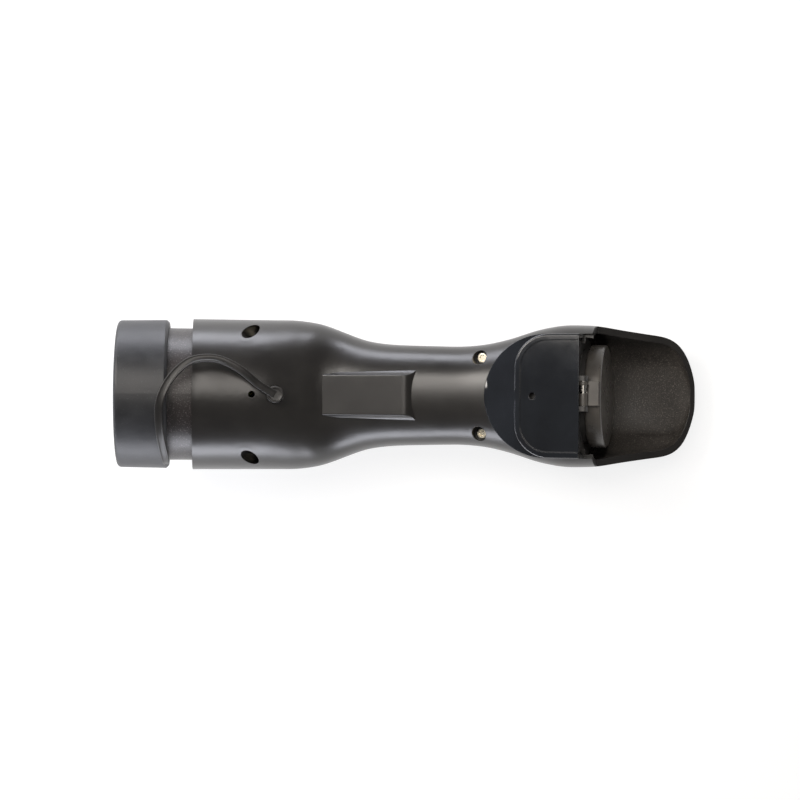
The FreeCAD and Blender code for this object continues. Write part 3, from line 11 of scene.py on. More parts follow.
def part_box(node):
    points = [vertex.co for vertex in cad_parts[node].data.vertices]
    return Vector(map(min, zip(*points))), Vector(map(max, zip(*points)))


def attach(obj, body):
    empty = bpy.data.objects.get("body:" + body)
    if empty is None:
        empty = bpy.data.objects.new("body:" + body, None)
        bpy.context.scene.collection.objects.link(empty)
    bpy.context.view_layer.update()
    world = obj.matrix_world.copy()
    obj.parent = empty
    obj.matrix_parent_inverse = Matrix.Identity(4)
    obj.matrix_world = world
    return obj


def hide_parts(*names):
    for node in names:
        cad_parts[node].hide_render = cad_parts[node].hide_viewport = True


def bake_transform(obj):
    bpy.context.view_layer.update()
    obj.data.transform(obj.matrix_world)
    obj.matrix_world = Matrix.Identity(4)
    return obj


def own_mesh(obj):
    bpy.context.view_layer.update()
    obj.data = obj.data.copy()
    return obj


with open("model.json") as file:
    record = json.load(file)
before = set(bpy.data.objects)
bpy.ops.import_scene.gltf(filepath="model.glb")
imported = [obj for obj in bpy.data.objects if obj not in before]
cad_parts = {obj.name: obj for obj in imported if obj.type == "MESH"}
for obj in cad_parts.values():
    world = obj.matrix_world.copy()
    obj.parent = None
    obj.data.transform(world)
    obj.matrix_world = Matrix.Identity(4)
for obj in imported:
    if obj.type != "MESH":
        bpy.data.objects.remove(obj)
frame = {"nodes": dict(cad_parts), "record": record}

bl_info = {
    "name": "Vehicle-to-load adapter",
    "version": (1, 0, 0),
    "blender": (4, 5, 0),
    "location": "View3D > Sidebar > Adapter",
    "description": ("Dresses the adapter's solids with their finishes, moulds its cap strap "
                    "and sets up a studio stage"),
    "category": "Object",
}

MM = 0.001
UP_THE_PICTURE = Vector((0.0, 1.0, 0.0))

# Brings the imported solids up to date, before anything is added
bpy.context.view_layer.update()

# Where the nose's axis meets the handle's axis, and the nose's own directions
mounts = {mount["name"]: mount for mount in frame["record"]["mounts"]}
socket_mouth = Vector(mounts["socket_recess"]["pos_m"])
nose_axis = Vector(mounts["vehicle_plug"]["axis"]).normalized()
nose_front = Vector(mounts["vehicle_plug"]["pos_m"])
bend = nose_front - nose_axis * ((nose_front.z - socket_mouth.z) / nose_axis.z)
near_side = UP_THE_PICTURE.cross(nose_axis).normalized()
nose_turn = Matrix((near_side, UP_THE_PICTURE, nose_axis)).transposed().to_4x4()
on_nose = Matrix.Translation(bend) @ nose_turn
hood_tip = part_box("hood_shell")[1][0]

# The strap's run: millimetres along the nose, degrees round it from its near side, and height above
# the barrel
BARREL_RADIUS = 36.0
STRAP_RUN = (
    (65.5, -71.5, -2.2), (65.6, -63.0, -0.1), (65.9, -49.0, 1.9), (67.6, -26.0, 4.2), (67.9, -6.8, 5.6),
    (63.4, 8.2, 6.4), (54.4, 19.3, 7.9), (43.0, 21.0, 8.3), (32.5, 15.6, 6.6), (23.5, 6.6, 2.6),
    (16.0, 0.0, 0.6))

# Steps of the strap's line between two points of its run, those over which it widens from its root in
# the cap, and the share of its width that it starts from
STRAP_STEPS = 9
STRAP_TAPER_STEPS = 20
STRAP_ROOT_SHARE = 0.5

# Half of the strap's section, as shares of its half width and half thickness, from its back to its
# dished face
STRAP_SECTION = ((0.8, -1.0), (1.0, -0.6), (1.0, 0.65), (0.88, 1.0), (0.68, 1.0), (0.5, 0.55))

# The knob: its place along the nose, the sides it is turned with, and its profile, in millimetres from
# its own axis and from the nose's axis
KNOB_PLACE = 16.0
KNOB_SIDES = 40
KNOB_PROFILE = ((0.0, 37.1), (2.7, 37.1), (3.0, 37.45), (3.4, 37.5), (3.75, 37.3), (3.9, 36.9),
                (3.9, 33.5))

# The cover's sunk plateau near its ramp: back from the cover's end and to each side, how far it is sunk,
# and how far the waste cut from it reaches over the cover
PLATEAU_CORNERS = ((-25.9, 12.2), (-23.5, 13.6), (-1.5, 13.6), (-1.5, -13.6), (-23.5, -13.6),
                   (-25.9, -12.2))
PLATEAU_SINK = 0.6
PLATEAU_CLEARANCE = 2.0

# The waste round the strap's root in the cap: its outline along the nose and from its axis, the degrees
# between which it runs, and their step
ROOT_WASTE = ((60.0, 31.6), (64.89, 31.6), (64.89, 34.1), (66.09, 35.31), (72.0, 35.31), (72.0, 42.0),
              (60.0, 42.0))
ROOT_WASTE_TURN = (-80, -54)
ROOT_WASTE_STEP = 2

# Trimming: the millimetres within which vertices are welded, the share of the way to a face's middle at
# which its corners are looked up, and the least agreement (a cosine) of a face with the shading it takes
WELD = 0.001
CORNER_INSET = 0.03
SHADING_AGREEMENT = 0.8

# The hood's rim keeps the shell's finish: its millimetres at the tip, and along its sides how far from
# the middle it starts and how little its faces lean sideways
RIM_AT_TIP = 2.2
RIM_FROM_MIDDLE = 10.0
RIM_LEAN = 0.03

# The values of a noise between which clouds, gloss, specks and tarnish come up, and how many times
# duller and shinier a metal's marks are than the metal
CLOUD_SPAN = (0.35, 0.68)
GLOSS_SPAN = (0.3, 0.7)
SPECK_SPAN = (0.62, 0.74)
TARNISH_SPAN = (0.45, 0.8)
METAL_SPREAD = 1.25

# The picture: its degrees off the vertical, its roll in degrees, what it aims at from the bend, along the
# handle and across it, and the camera's sensor in millimetres
PICTURE_TILT = 16.3
PICTURE_ROLL = 0.36
PICTURE_AIM = Vector((48.05 * MM, -2.2 * MM, 0.0))
SENSOR_WIDTH = 36.0

# The studio, where 1 is white: the room's light, the sine of the elevation up to which polished faces see
# it white, and the paper's width in metres, its colour and its glow
ROOM_LIGHT = 0.18
HORIZON_HEIGHT = 0.06
PAPER_WIDTH = 4.0
PAPER_COLOUR = "#8a8a8a"
PAPER_GLOW = 0.8

# The lamps: what they are placed from, their place, what they face and the direction of their width,
# each to the right in the picture, up it and out of it, then width, height, brightness and tint.
# Low strips along both sides light the flanks. A wide box over the camera lights what faces it, one over
# the nose shines into the hood, and a strip beyond the nose draws the edges of the cover's bead.
COOL_WHITE = "#f3f5ff"
WARM_WHITE = "#fff9f2"
LAMPS = {
    "strip_above": ("bend", (-0.157, 0.27, 0.01), (-0.157, 0.0, 0.01), (1.0, 0.0, 0.0),
                    0.4, 0.09, 8.0, COOL_WHITE),
    "strip_below": ("bend", (-0.157, -0.27, 0.01), (-0.157, 0.0, 0.01), (1.0, 0.0, 0.0),
                    0.4, 0.09, 8.0, COOL_WHITE),
    "box_over_camera": ("aim", (-0.16, 0.2, 0.6), (0.0, 0.0, 0.0), (1.0, -0.3, 0.0),
                        0.74, 0.3, 4.6, WARM_WHITE),
    "box_into_hood": ("aim", (-0.5, 0.287, 0.48), (0.0, 0.0, 0.0), (1.0, 1.7, 0.0),
                      0.3, 0.2, 12.0, WARM_WHITE),
    "strip_beyond_nose": ("aim", (-0.7, 0.0, 0.0), (0.0, 0.0, 0.0), (0.0, 1.0, 0.0),
                          0.5, 0.07, 12.0, COOL_WHITE),
}


def linear(hex_colour):
    """An sRGB hex colour as linear red, green, blue and alpha."""
    channels = []
    for place in (1, 3, 5):
        value = int(hex_colour[place:place + 2], 16) / 255.0
        channels.append(value / 12.92 if value <= 0.04045 else ((value + 0.055) / 1.055) ** 2.4)
    return (*channels, 1.0)


def add_node(tree, kind, settings=None, inputs=None):
    """Adds a node, sets its properties and gives each named input a value or a link."""
    node = tree.nodes.new(kind)
    for name, value in (settings or {}).items():
        setattr(node, name, value)
    for name, value in (inputs or {}).items():
        if isinstance(value, bpy.types.NodeSocket):
            tree.links.new(value, node.inputs[name])
        else:
            node.inputs[name].default_value = value
    return node


def blank_material(name):
    """A new material with an empty node tree, and that tree."""
    material = bpy.data.materials.new(name)
    material.use_nodes = True
    material.node_tree.nodes.clear()
    return material, material.node_tree


def moulded(name, colour, cloud, cloud_mm, roughness, roughness_spread=0.05, grain_mm=0.0,
            grain_depth_mm=0.0, speck=None, speck_share=0.0, edge_mm=0.0, ior=1.5):
    """A moulded finish: a colour with clouds of a second one, specks, a grain and softly rounded edges."""
    material, tree = blank_material(name)
    place = add_node(tree, "ShaderNodeTexCoord").outputs["Object"]
    clouds = add_node(tree, "ShaderNodeTexNoise", None, {
        "Vector": place, "Scale": 1.0 / (cloud_mm * MM), "Detail": 4.0, "Roughness": 0.6}).outputs["Fac"]
    share = add_node(tree, "ShaderNodeMapRange", None, {
        "Value": clouds, "From Min": CLOUD_SPAN[0], "From Max": CLOUD_SPAN[1]}).outputs["Result"]
    tone = add_node(tree, "ShaderNodeMix", {"data_type": "RGBA"}, {
        0: share, 6: colour, 7: cloud}).outputs[2]
    gloss = add_node(tree, "ShaderNodeMapRange", None, {
        "Value": clouds, "From Min": GLOSS_SPAN[0], "From Max": GLOSS_SPAN[1],
        "To Min": roughness - roughness_spread, "To Max": roughness + roughness_spread}).outputs["Result"]
    finish = {"Roughness": gloss, "IOR": ior}
    grain = None
    if grain_mm:
        grain = add_node(tree, "ShaderNodeTexNoise", None, {
            "Vector": place, "Scale": 1.0 / (grain_mm * MM), "Detail": 2.0,
            "Roughness": 0.55}).outputs["Fac"]
    # Pale specks: real bloom on rubber, and painted glints for the sparkle of pits on eroded polyamide.
    if speck:
        bright = add_node(tree, "ShaderNodeMapRange", None, {
            "Value": grain, "From Min": SPECK_SPAN[0] - speck_share,
            "From Max": SPECK_SPAN[1] - speck_share}).outputs["Result"]
        tone = add_node(tree, "ShaderNodeMix", {"data_type": "RGBA"}, {
            0: bright, 6: tone, 7: speck}).outputs[2]
    finish["Base Color"] = tone
    if edge_mm:
        finish["Normal"] = add_node(tree, "ShaderNodeBevel", {"samples": 4}, {
            "Radius": edge_mm * MM}).outputs[0]
    if grain_mm:
        relief = {"Height": grain, "Distance": grain_depth_mm * MM}
        if edge_mm:
            relief["Normal"] = finish["Normal"]
        finish["Normal"] = add_node(tree, "ShaderNodeBump", None, relief).outputs["Normal"]
    shader = add_node(tree, "ShaderNodeBsdfPrincipled", None, finish)
    add_node(tree, "ShaderNodeOutputMaterial", None, {"Surface": shader.outputs["BSDF"]})
    return material


def metal(name, colour, tarnish, roughness, mark_mm, mark_depth_mm, draw=(1.0, 1.0, 1.0)):
    """A metal finish: a plated colour with a little tarnish, and fine marks drawn out along the work."""
    material, tree = blank_material(name)
    place = add_node(tree, "ShaderNodeTexCoord").outputs["Object"]
    drawn = add_node(tree, "ShaderNodeMapping", None, {"Vector": place, "Scale": draw}).outputs["Vector"]
    marks = add_node(tree, "ShaderNodeTexNoise", None, {
        "Vector": drawn, "Scale": 1.0 / (mark_mm * MM), "Detail": 3.0, "Roughness": 0.6}).outputs["Fac"]
    share = add_node(tree, "ShaderNodeMapRange", None, {
        "Value": marks, "From Min": TARNISH_SPAN[0], "From Max": TARNISH_SPAN[1]}).outputs["Result"]
    tone = add_node(tree, "ShaderNodeMix", {"data_type": "RGBA"}, {
        0: share, 6: colour, 7: tarnish}).outputs[2]
    gloss = add_node(tree, "ShaderNodeMapRange", None, {
        "Value": marks, "From Min": GLOSS_SPAN[0], "From Max": GLOSS_SPAN[1],
        "To Min": roughness / METAL_SPREAD, "To Max": roughness * METAL_SPREAD}).outputs["Result"]
    relief = add_node(tree, "ShaderNodeBump", None, {"Height": marks, "Distance": mark_depth_mm * MM})
    shader = add_node(tree, "ShaderNodeBsdfPrincipled", None, {
        "Base Color": tone, "Metallic": 1.0, "Roughness": gloss, "Normal": relief.outputs["Normal"]})
    add_node(tree, "ShaderNodeOutputMaterial", None, {"Surface": shader.outputs["BSDF"]})
    return material


def dress(material, *nodes):
    """Gives solids of the frame a finish."""
    for name in nodes:
        piece = frame["nodes"][name]
        piece.data.materials.clear()
        piece.data.materials.append(material)


def inside_the_hood(face):
    """True for a face of the hood's shell that looks into the hood, but not for its rim."""
    if face.center.x < socket_mouth.x or face.center.x > hood_tip - RIM_AT_TIP * MM:
        return False
    rim = abs(face.normal.y) < RIM_LEAN and abs(face.center.y) > RIM_FROM_MIDDLE * MM
    inwards = Vector((socket_mouth.x, 0.0, socket_mouth.z)) - face.center
    inwards.x = min(inwards.x, 0.0)
    return not rim and face.normal.dot(inwards) > 0.0


def skin(mesh, rings):
    """Joins each ring of vertices to the next one."""
    for ring, following in zip(rings, rings[1:]):
        for k in range(len(ring)):
            after = (k + 1) % len(ring)
            mesh.faces.new((ring[k], ring[after], following[after], following[k]))


def into_data(mesh, name):
    """Turns the faces of a mesh outwards and stores it under a name."""
    bmesh.ops.recalc_face_normals(mesh, faces=mesh.faces[:])
    data = bpy.data.meshes.new(name)
    mesh.to_mesh(data)
    mesh.free()
    return data


def waste_block(outlines):
    """A closed block through outlines of points, with a face over each end."""
    mesh = bmesh.new()
    rings = [[mesh.verts.new(point) for point in outline] for outline in outlines]
    skin(mesh, rings)
    mesh.faces.new(rings[0])
    mesh.faces.new(list(reversed(rings[-1])))
    return into_data(mesh, "waste")


def keep_shading(mesh, solid):
    """Gives each face of a mesh the smooth shading of the solid's face that it lies on."""
    solid.calc_loop_triangles()
    tree = BVHTree.FromPolygons([vertex.co for vertex in solid.vertices],
                                [triangle.vertices for triangle in solid.loop_triangles])
    normals = []
    for face in mesh.polygons:
        for corner in face.loop_indices:
            vertex = mesh.vertices[mesh.loops[corner].vertex_index]
            point = vertex.co.lerp(face.center, CORNER_INSET)
            place, _, index, _ = tree.find_nearest(point)
            triangle = solid.loop_triangles[index]
            shares = poly_3d_calc([solid.vertices[k].co for k in triangle.vertices], place)
            normal = sum((solid.corner_normals[k].vector * share
                          for k, share in zip(triangle.loops, shares)), Vector((0.0, 0.0, 0.0)))
            agrees = normal.dot(face.normal) > SHADING_AGREEMENT
            normals.append(normal.normalized() if agrees else face.normal.copy())
    mesh.normals_split_custom_set(normals)


def trimmed(node, name, waste):
    """A piece like a solid of the frame, with some waste cut away and its shading kept."""
    solid = frame["nodes"][node]
    data = solid.data.copy()
    mesh = bmesh.new()
    mesh.from_mesh(data)
    bmesh.ops.remove_doubles(mesh, verts=mesh.verts[:], dist=WELD * MM)
    mesh.to_mesh(data)
    mesh.free()
    piece = bpy.data.objects.new(name, data)
    knife = bpy.data.objects.new("waste", waste)
    for thing in (piece, knife):
        bpy.context.scene.collection.objects.link(thing)
    cut = piece.modifiers.new("cut", "BOOLEAN")
    cut.object = knife
    cut.operation = "DIFFERENCE"
    cut.solver = "EXACT"
    evaluated = piece.evaluated_get(bpy.context.evaluated_depsgraph_get())
    result = bpy.data.meshes.new_from_object(evaluated)
    piece.modifiers.clear()
    piece.data = result
    bpy.data.objects.remove(knife)
    result.materials.clear()
    keep_shading(result, solid.data)
    return piece


def round_the_nose(along, degrees, radius):
    """A point so many millimetres along the nose, degrees round it and millimetres from its axis."""
    angle = math.radians(degrees)
    return on_nose @ Vector((radius * MM * math.cos(angle), radius * MM * math.sin(angle), along * MM))


def strap_line():
    """The strap's smooth middle line, through each point of its run."""
    points = [round_the_nose(along, degrees, BARREL_RADIUS + height)
              for along, degrees, height in STRAP_RUN]
    line = []
    for i in range(len(points) - 1):
        start, end = points[i], points[i + 1]
        before = points[max(i - 1, 0)]
        after = points[min(i + 2, len(points) - 1)]
        for step in range(STRAP_STEPS):
            t = step / STRAP_STEPS
            swing_in = (end - before) * 0.5
            swing_out = (after - start) * 0.5
            line.append(start * (2 * t ** 3 - 3 * t ** 2 + 1) + swing_in * (t ** 3 - 2 * t ** 2 + t)
                        + end * (3 * t ** 2 - 2 * t ** 3) + swing_out * (t ** 3 - t ** 2))
    line.append(points[-1])
    return line


def ribbon(mesh, line, half_width, half_thickness):
    """Sweeps the strap's section along its line, with its dished face away from the nose."""
    section = [*STRAP_SECTION, *((-sideways, up) for sideways, up in reversed(STRAP_SECTION))]
    rings = []
    for i, point in enumerate(line):
        heading = (line[min(i + 1, len(line) - 1)] - line[max(i - 1, 0)]).normalized()
        from_axis = point - bend
        outwards = (from_axis - nose_axis * from_axis.dot(nose_axis)).normalized()
        across = heading.cross(outwards).normalized()
        face = across.cross(heading)
        taper = min(1.0, STRAP_ROOT_SHARE + (1.0 - STRAP_ROOT_SHARE) * i / STRAP_TAPER_STEPS)
        rings.append([mesh.verts.new(point + across * (sideways * half_width * taper)
                                     + face * (up * half_thickness)) for sideways, up in section])
    skin(mesh, rings)
    mesh.faces.new(rings[0])
    mesh.faces.new(list(reversed(rings[-1])))


def knob(mesh):
    """Turns the knob's profile about its own axis."""
    middle = mesh.verts.new(on_nose @ Vector((KNOB_PROFILE[0][1] * MM, 0.0, KNOB_PLACE * MM)))
    rings = []
    for radius, height in KNOB_PROFILE[1:]:
        ring = []
        for k in range(KNOB_SIDES):
            angle = 2.0 * math.pi * k / KNOB_SIDES
            across = radius * MM * math.cos(angle)
            along = KNOB_PLACE * MM + radius * MM * math.sin(angle)
            ring.append(mesh.verts.new(on_nose @ Vector((height * MM, across, along))))
        rings.append(ring)
    for k in range(KNOB_SIDES):
        mesh.faces.new((middle, rings[0][k], rings[0][(k + 1) % KNOB_SIDES]))
    skin(mesh, rings)
    mesh.faces.new(rings[-1])


def lamp(name, place, aim, along, width, height, brightness, tint):
    """A rectangular soft lamp, its width along a direction. In its brightness, 1 is a white face."""
    data = bpy.data.lights.new(name, "AREA")
    data.shape = "RECTANGLE"
    data.color = linear(tint)[:3]
    data.size = width
    data.size_y = height
    data.energy = brightness * math.pi * width * height
    piece = bpy.data.objects.new(name, data)
    facing = (place - aim).normalized()
    across = (along - facing * along.dot(facing)).normalized()
    turn = Matrix((across, facing.cross(across), facing)).transposed().to_4x4()
    piece.matrix_world = Matrix.Translation(place) @ turn
    bpy.context.scene.collection.objects.link(piece)


class AdapterSizes(bpy.types.PropertyGroup):
    """Sizes that a user may change."""
    strap_width: bpy.props.FloatProperty(
        name="Strap width", description="Width of the strap that keeps the cap", default=3.7 * MM,
        min=1.0 * MM, max=8.0 * MM, precision=4, subtype="DISTANCE", unit="LENGTH")
    strap_thickness: bpy.props.FloatProperty(
        name="Strap thickness", description="Thickness of the strap at its edges", default=2.0 * MM,
        min=0.5 * MM, max=3.2 * MM, precision=4, subtype="DISTANCE", unit="LENGTH")
    camera_distance: bpy.props.FloatProperty(
        name="Camera distance", description="From the camera to the handle's axis", default=0.622,
        min=0.3, max=3.0, subtype="DISTANCE", unit="LENGTH")
    focal_length: bpy.props.FloatProperty(
        name="Focal length", description="The camera's lens, on a 36 mm wide sensor", default=58.9,
        min=20.0, max=200.0, subtype="DISTANCE_CAMERA")


class AdapterColours(bpy.types.PropertyGroup):
    """Colours that a user may change."""
    shell: bpy.props.FloatVectorProperty(
        name="Half shells", description="Glass-filled polyamide of the housing", size=4, subtype="COLOR",
        min=0.0, max=1.0, default=linear("#1d1b1a"))
    cover: bpy.props.FloatVectorProperty(
        name="Socket cover", description="Polished ABS over the socket", size=4, subtype="COLOR",
        min=0.0, max=1.0, default=linear("#16181c"))
    # Painted highlight: the lid's default is lighter than its dark ABS, standing in for the light on it.
    lid: bpy.props.FloatVectorProperty(
        name="Lid", description="ABS of the sprung lid", size=4, subtype="COLOR",
        min=0.0, max=1.0, default=linear("#45423f"))
    nose: bpy.props.FloatVectorProperty(
        name="Nose", description="Textured polyamide of the connector's nose", size=4, subtype="COLOR",
        min=0.0, max=1.0, default=linear("#1f1b1a"))
    cap: bpy.props.FloatVectorProperty(
        name="Dust cap", description="EPDM rubber of the cap", size=4, subtype="COLOR",
        min=0.0, max=1.0, default=linear("#1f2023"))
    strap: bpy.props.FloatVectorProperty(
        name="Strap", description="Soft elastomer of the cap's strap", size=4, subtype="COLOR",
        min=0.0, max=1.0, default=linear("#1c1b1a"))
    screw: bpy.props.FloatVectorProperty(
        name="Screws", description="Zinc plating of the shells' screws", size=4, subtype="COLOR",
        min=0.0, max=1.0, default=linear("#ded7c6"))


class ADAPTER_OT_stage(bpy.types.Operator):
    """Sets up the camera, a white floor and soft lamps"""
    bl_idname = "adapter.stage"
    bl_label = "Stage"

    def execute(self, context):
        sizes = context.scene.adapter_sizes
        tilt = math.radians(PICTURE_TILT)
        back = Vector((math.sin(tilt), 0.0, math.cos(tilt)))
        right = Vector((math.cos(tilt), 0.0, -math.sin(tilt)))
        aim = bend + PICTURE_AIM
        data = bpy.data.cameras.new("camera")
        data.lens = sizes.focal_length
        data.sensor_width = SENSOR_WIDTH
        data.clip_start = 0.01
        camera = bpy.data.objects.new("camera", data)
        turn = Matrix((right, UP_THE_PICTURE, back)).transposed()
        roll = Matrix.Rotation(math.radians(PICTURE_ROLL), 4, "Z")
        place = Matrix.Translation(aim + back * sizes.camera_distance)
        camera.matrix_world = place @ turn.to_4x4() @ roll
        context.scene.collection.objects.link(camera)
        context.scene.camera = camera
        context.scene.view_settings.view_transform = "Standard"
        self.studio(context.scene)
        self.floor(context.scene)
        origins = {"bend": bend, "aim": aim}
        for name, (origin, place, target, along, width, height, brightness, tint) in LAMPS.items():
            lamp(name, origins[origin] + turn @ Vector(place), origins[origin] + turn @ Vector(target),
                 turn @ Vector(along), width, height, brightness, tint)
        return {"FINISHED"}

    def studio(self, scene):
        """A dim room that the camera sees as white, with a pale horizon for what is polished."""
        world = bpy.data.worlds.new("studio")
        scene.world = world
        world.use_nodes = True
        tree = world.node_tree
        tree.nodes.clear()
        path = add_node(tree, "ShaderNodeLightPath")
        place = add_node(tree, "ShaderNodeTexCoord").outputs["Generated"]
        height = add_node(tree, "ShaderNodeSeparateXYZ", None, {0: place}).outputs["Z"]
        low = add_node(tree, "ShaderNodeMath", {"operation": "LESS_THAN"}, {
            0: height, 1: HORIZON_HEIGHT})
        shiny = add_node(tree, "ShaderNodeMath", {"operation": "MAXIMUM"}, {
            0: path.outputs["Is Glossy Ray"], 1: path.outputs["Is Transmission Ray"]})
        horizon = add_node(tree, "ShaderNodeMath", {"operation": "MULTIPLY"}, {
            0: low.outputs[0], 1: shiny.outputs[0]})
        seen = add_node(tree, "ShaderNodeMath", {"operation": "MAXIMUM"}, {
            0: path.outputs["Is Camera Ray"], 1: horizon.outputs[0]})
        strength = add_node(tree, "ShaderNodeMapRange", None, {
            "Value": seen.outputs[0], "To Min": ROOM_LIGHT, "To Max": 1.0})
        light = add_node(tree, "ShaderNodeBackground", None, {
            "Color": linear("#ffffff"), "Strength": strength.outputs["Result"]})
        add_node(tree, "ShaderNodeOutputWorld", None, {"Surface": light.outputs[0]})

    def floor(self, scene):
        """Background paper: it keeps the shadow, and glows white to the camera and in reflections."""
        mesh = bpy.data.meshes.new("floor")
        half = PAPER_WIDTH / 2.0
        corners = [(-half, -half, 0.0), (half, -half, 0.0), (half, half, 0.0), (-half, half, 0.0)]
        mesh.from_pydata(corners, [], [(0, 1, 2, 3)])
        floor = bpy.data.objects.new("floor", mesh)
        scene.collection.objects.link(floor)
        material, tree = blank_material("background_paper")
        path = add_node(tree, "ShaderNodeLightPath")
        shiny = add_node(tree, "ShaderNodeMath", {"operation": "MAXIMUM"}, {
            0: path.outputs["Is Glossy Ray"], 1: path.outputs["Is Transmission Ray"]})
        seen = add_node(tree, "ShaderNodeMath", {"operation": "MAXIMUM"}, {
            0: path.outputs["Is Camera Ray"], 1: shiny.outputs[0]})
        glow = add_node(tree, "ShaderNodeMath", {"operation": "MULTIPLY"}, {
            0: seen.outputs[0], 1: PAPER_GLOW})
        paper = add_node(tree, "ShaderNodeBsdfDiffuse", None, {"Color": linear(PAPER_COLOUR)})
        white = add_node(tree, "ShaderNodeEmission", None, {
            "Color": linear("#ffffff"), "Strength": glow.outputs[0]})
        both = add_node(tree, "ShaderNodeAddShader", None, {0: paper.outputs[0], 1: white.outputs[0]})
        add_node(tree, "ShaderNodeOutputMaterial", None, {"Surface": both.outputs[0]})
        mesh.materials.append(material)


class ADAPTER_OT_half_shells(bpy.types.Operator):
    """Finishes the two half shells, with a coarser texture and a colour painted lighter, as painted light,
    inside the hood
    """
    bl_idname = "adapter.half_shells"
    bl_label = "Half shells"

    def execute(self, context):
        colour = context.scene.adapter_colours.shell
        # Glass-filled polyamide, moulded in a finely spark-eroded tool: a satin grey-black whose real
        # grain, about 0.1 mm, is too fine to show, so it is drawn at 0.5 mm and breaks up the highlights.
        shell = moulded("glass_filled_polyamide", colour, linear("#242220"), 22.0, 0.31, 0.03,
                        grain_mm=0.5, grain_depth_mm=0.012, edge_mm=0.35, ior=1.53)
        # The same plastic where the tool was eroded coarsely: 0.4 mm pits, drawn at 0.5 mm, whose sparkle
        # is painted as pale specks.
        # Painted light: its colour is lighter than the shell's, to stand in for the light that falls inside
        # the hood.
        pitted_with_painted_glints = moulded("coarse_polyamide_with_painted_light", linear("#35322f"), linear("#423e3a"), 9.0,
                         0.55, 0.05, grain_mm=0.5, grain_depth_mm=0.08, speck=linear("#726c66"),
                         speck_share=0.05, ior=1.53)
        dress(shell, "screw_shell", "hood_shell")
        mesh = frame["nodes"]["hood_shell"].data
        mesh.materials.append(pitted_with_painted_glints)
        # Faces that look into the hood get the finish that is painted lighter as painted light.
        for face in mesh.polygons:
            face.material_index = int(inside_the_hood(face))
        return {"FINISHED"}


class ADAPTER_OT_socket_cover(bpy.types.Operator):
    """Finishes the glossy cover over the socket"""
    bl_idname = "adapter.socket_cover"
    bl_label = "Socket cover"

    def execute(self, context):
        # ABS moulded in a polished tool: a piano black that mirrors the lamps, with faint 9 mm ripples.
        gloss = moulded("polished_abs", context.scene.adapter_colours.cover, linear("#1f2227"), 30.0,
                        0.09, 0.03, grain_mm=9.0, grain_depth_mm=0.02, edge_mm=0.45, ior=1.54)
        # The solid's ramp stands proud on the sunk plateau, where the real one is level.
        end, _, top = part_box("socket_cover")[1]
        waste = waste_block([[(end + back * MM, side * MM, top - sink * MM)
                              for back, side in PLATEAU_CORNERS]
                             for sink in (PLATEAU_SINK, -PLATEAU_CLEARANCE)])
        cover = trimmed("socket_cover", "gloss_cover", waste)
        cover.data.materials.append(gloss)
        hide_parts("socket_cover")
        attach(cover, "housing")
        return {"FINISHED"}


class ADAPTER_OT_nose(bpy.types.Operator):
    """Finishes the connector's nose and its seal"""
    bl_idname = "adapter.nose"
    bl_label = "Nose"

    def execute(self, context):
        # Polyamide moulded in a coarsely spark-eroded tool: 0.3 mm pits, drawn at 0.55 mm, whose sparkle is
        # painted as pale specks (painted glints).
        pitted_with_painted_glints = moulded("eroded_polyamide", context.scene.adapter_colours.nose, linear("#272221"), 12.0,
                         0.38, 0.05, grain_mm=0.55, grain_depth_mm=0.09, speck=linear("#5a5354"),
                         speck_share=0.05, ior=1.53)
        # A silicone cord ring, moulded and dusted with talc: matt, with pale dust in its clouds.
        silicone = moulded("talced_silicone", linear("#2f3132"), linear("#45484a"), 2.5, 0.62, 0.08,
                           grain_mm=0.4, grain_depth_mm=0.01, ior=1.41)
        dress(pitted_with_painted_glints, "connector_nose")
        dress(silicone, "nose_seal")
        return {"FINISHED"}


class ADAPTER_OT_dust_cap(bpy.types.Operator):
    """Finishes the rubber cap on the nose"""
    bl_idname = "adapter.dust_cap"
    bl_label = "Dust cap"

    def execute(self, context):
        # EPDM rubber, press-moulded and bloomed with wax: a matt blue-grey with pale clouds and specks.
        rubber = moulded("bloomed_epdm", context.scene.adapter_colours.cap, linear("#2a2b2e"), 11.0,
                         0.45, 0.06, grain_mm=0.7, grain_depth_mm=0.02, speck=linear("#43454a"),
                         speck_share=-0.04, edge_mm=0.5, ior=1.5)
        # The solid's lug stands proud of the rim, where the real strap runs flush into it.
        waste = waste_block([[round_the_nose(along, degrees, radius) for along, radius in ROOT_WASTE]
                             for degrees in range(*ROOT_WASTE_TURN, ROOT_WASTE_STEP)])
        cap = trimmed("dust_cap", "rubber_cap", waste)
        cap.data.materials.append(rubber)
        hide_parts("dust_cap")
        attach(cap, "dust_cap")
        return {"FINISHED"}


class ADAPTER_OT_cap_strap(bpy.types.Operator):
    """Moulds the strap that keeps the cap, from the cap's rim to a knob in the barrel"""
    bl_idname = "adapter.cap_strap"
    bl_label = "Cap strap"

    def execute(self, context):
        sizes = context.scene.adapter_sizes
        mesh = bmesh.new()
        ribbon(mesh, strap_line(), sizes.strap_width / 2.0, sizes.strap_thickness / 2.0)
        knob(mesh)
        data = into_data(mesh, "cap_strap")
        for face in data.polygons:
            face.use_smooth = True
        strap = bpy.data.objects.new("cap_strap", data)
        context.scene.collection.objects.link(strap)
        rounding = strap.modifiers.new("rounding", "SUBSURF")
        rounding.levels = 2
        rounding.render_levels = 2
        # Thermoplastic elastomer from a polished tool: a satin black whose raised edges catch the light.
        elastomer = moulded("satin_elastomer", context.scene.adapter_colours.strap, linear("#262423"),
                            8.0, 0.42, 0.06, grain_mm=0.6, grain_depth_mm=0.008, ior=1.5)
        data.materials.append(elastomer)
        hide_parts("cap_tether")
        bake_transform(strap)
        return {"FINISHED"}


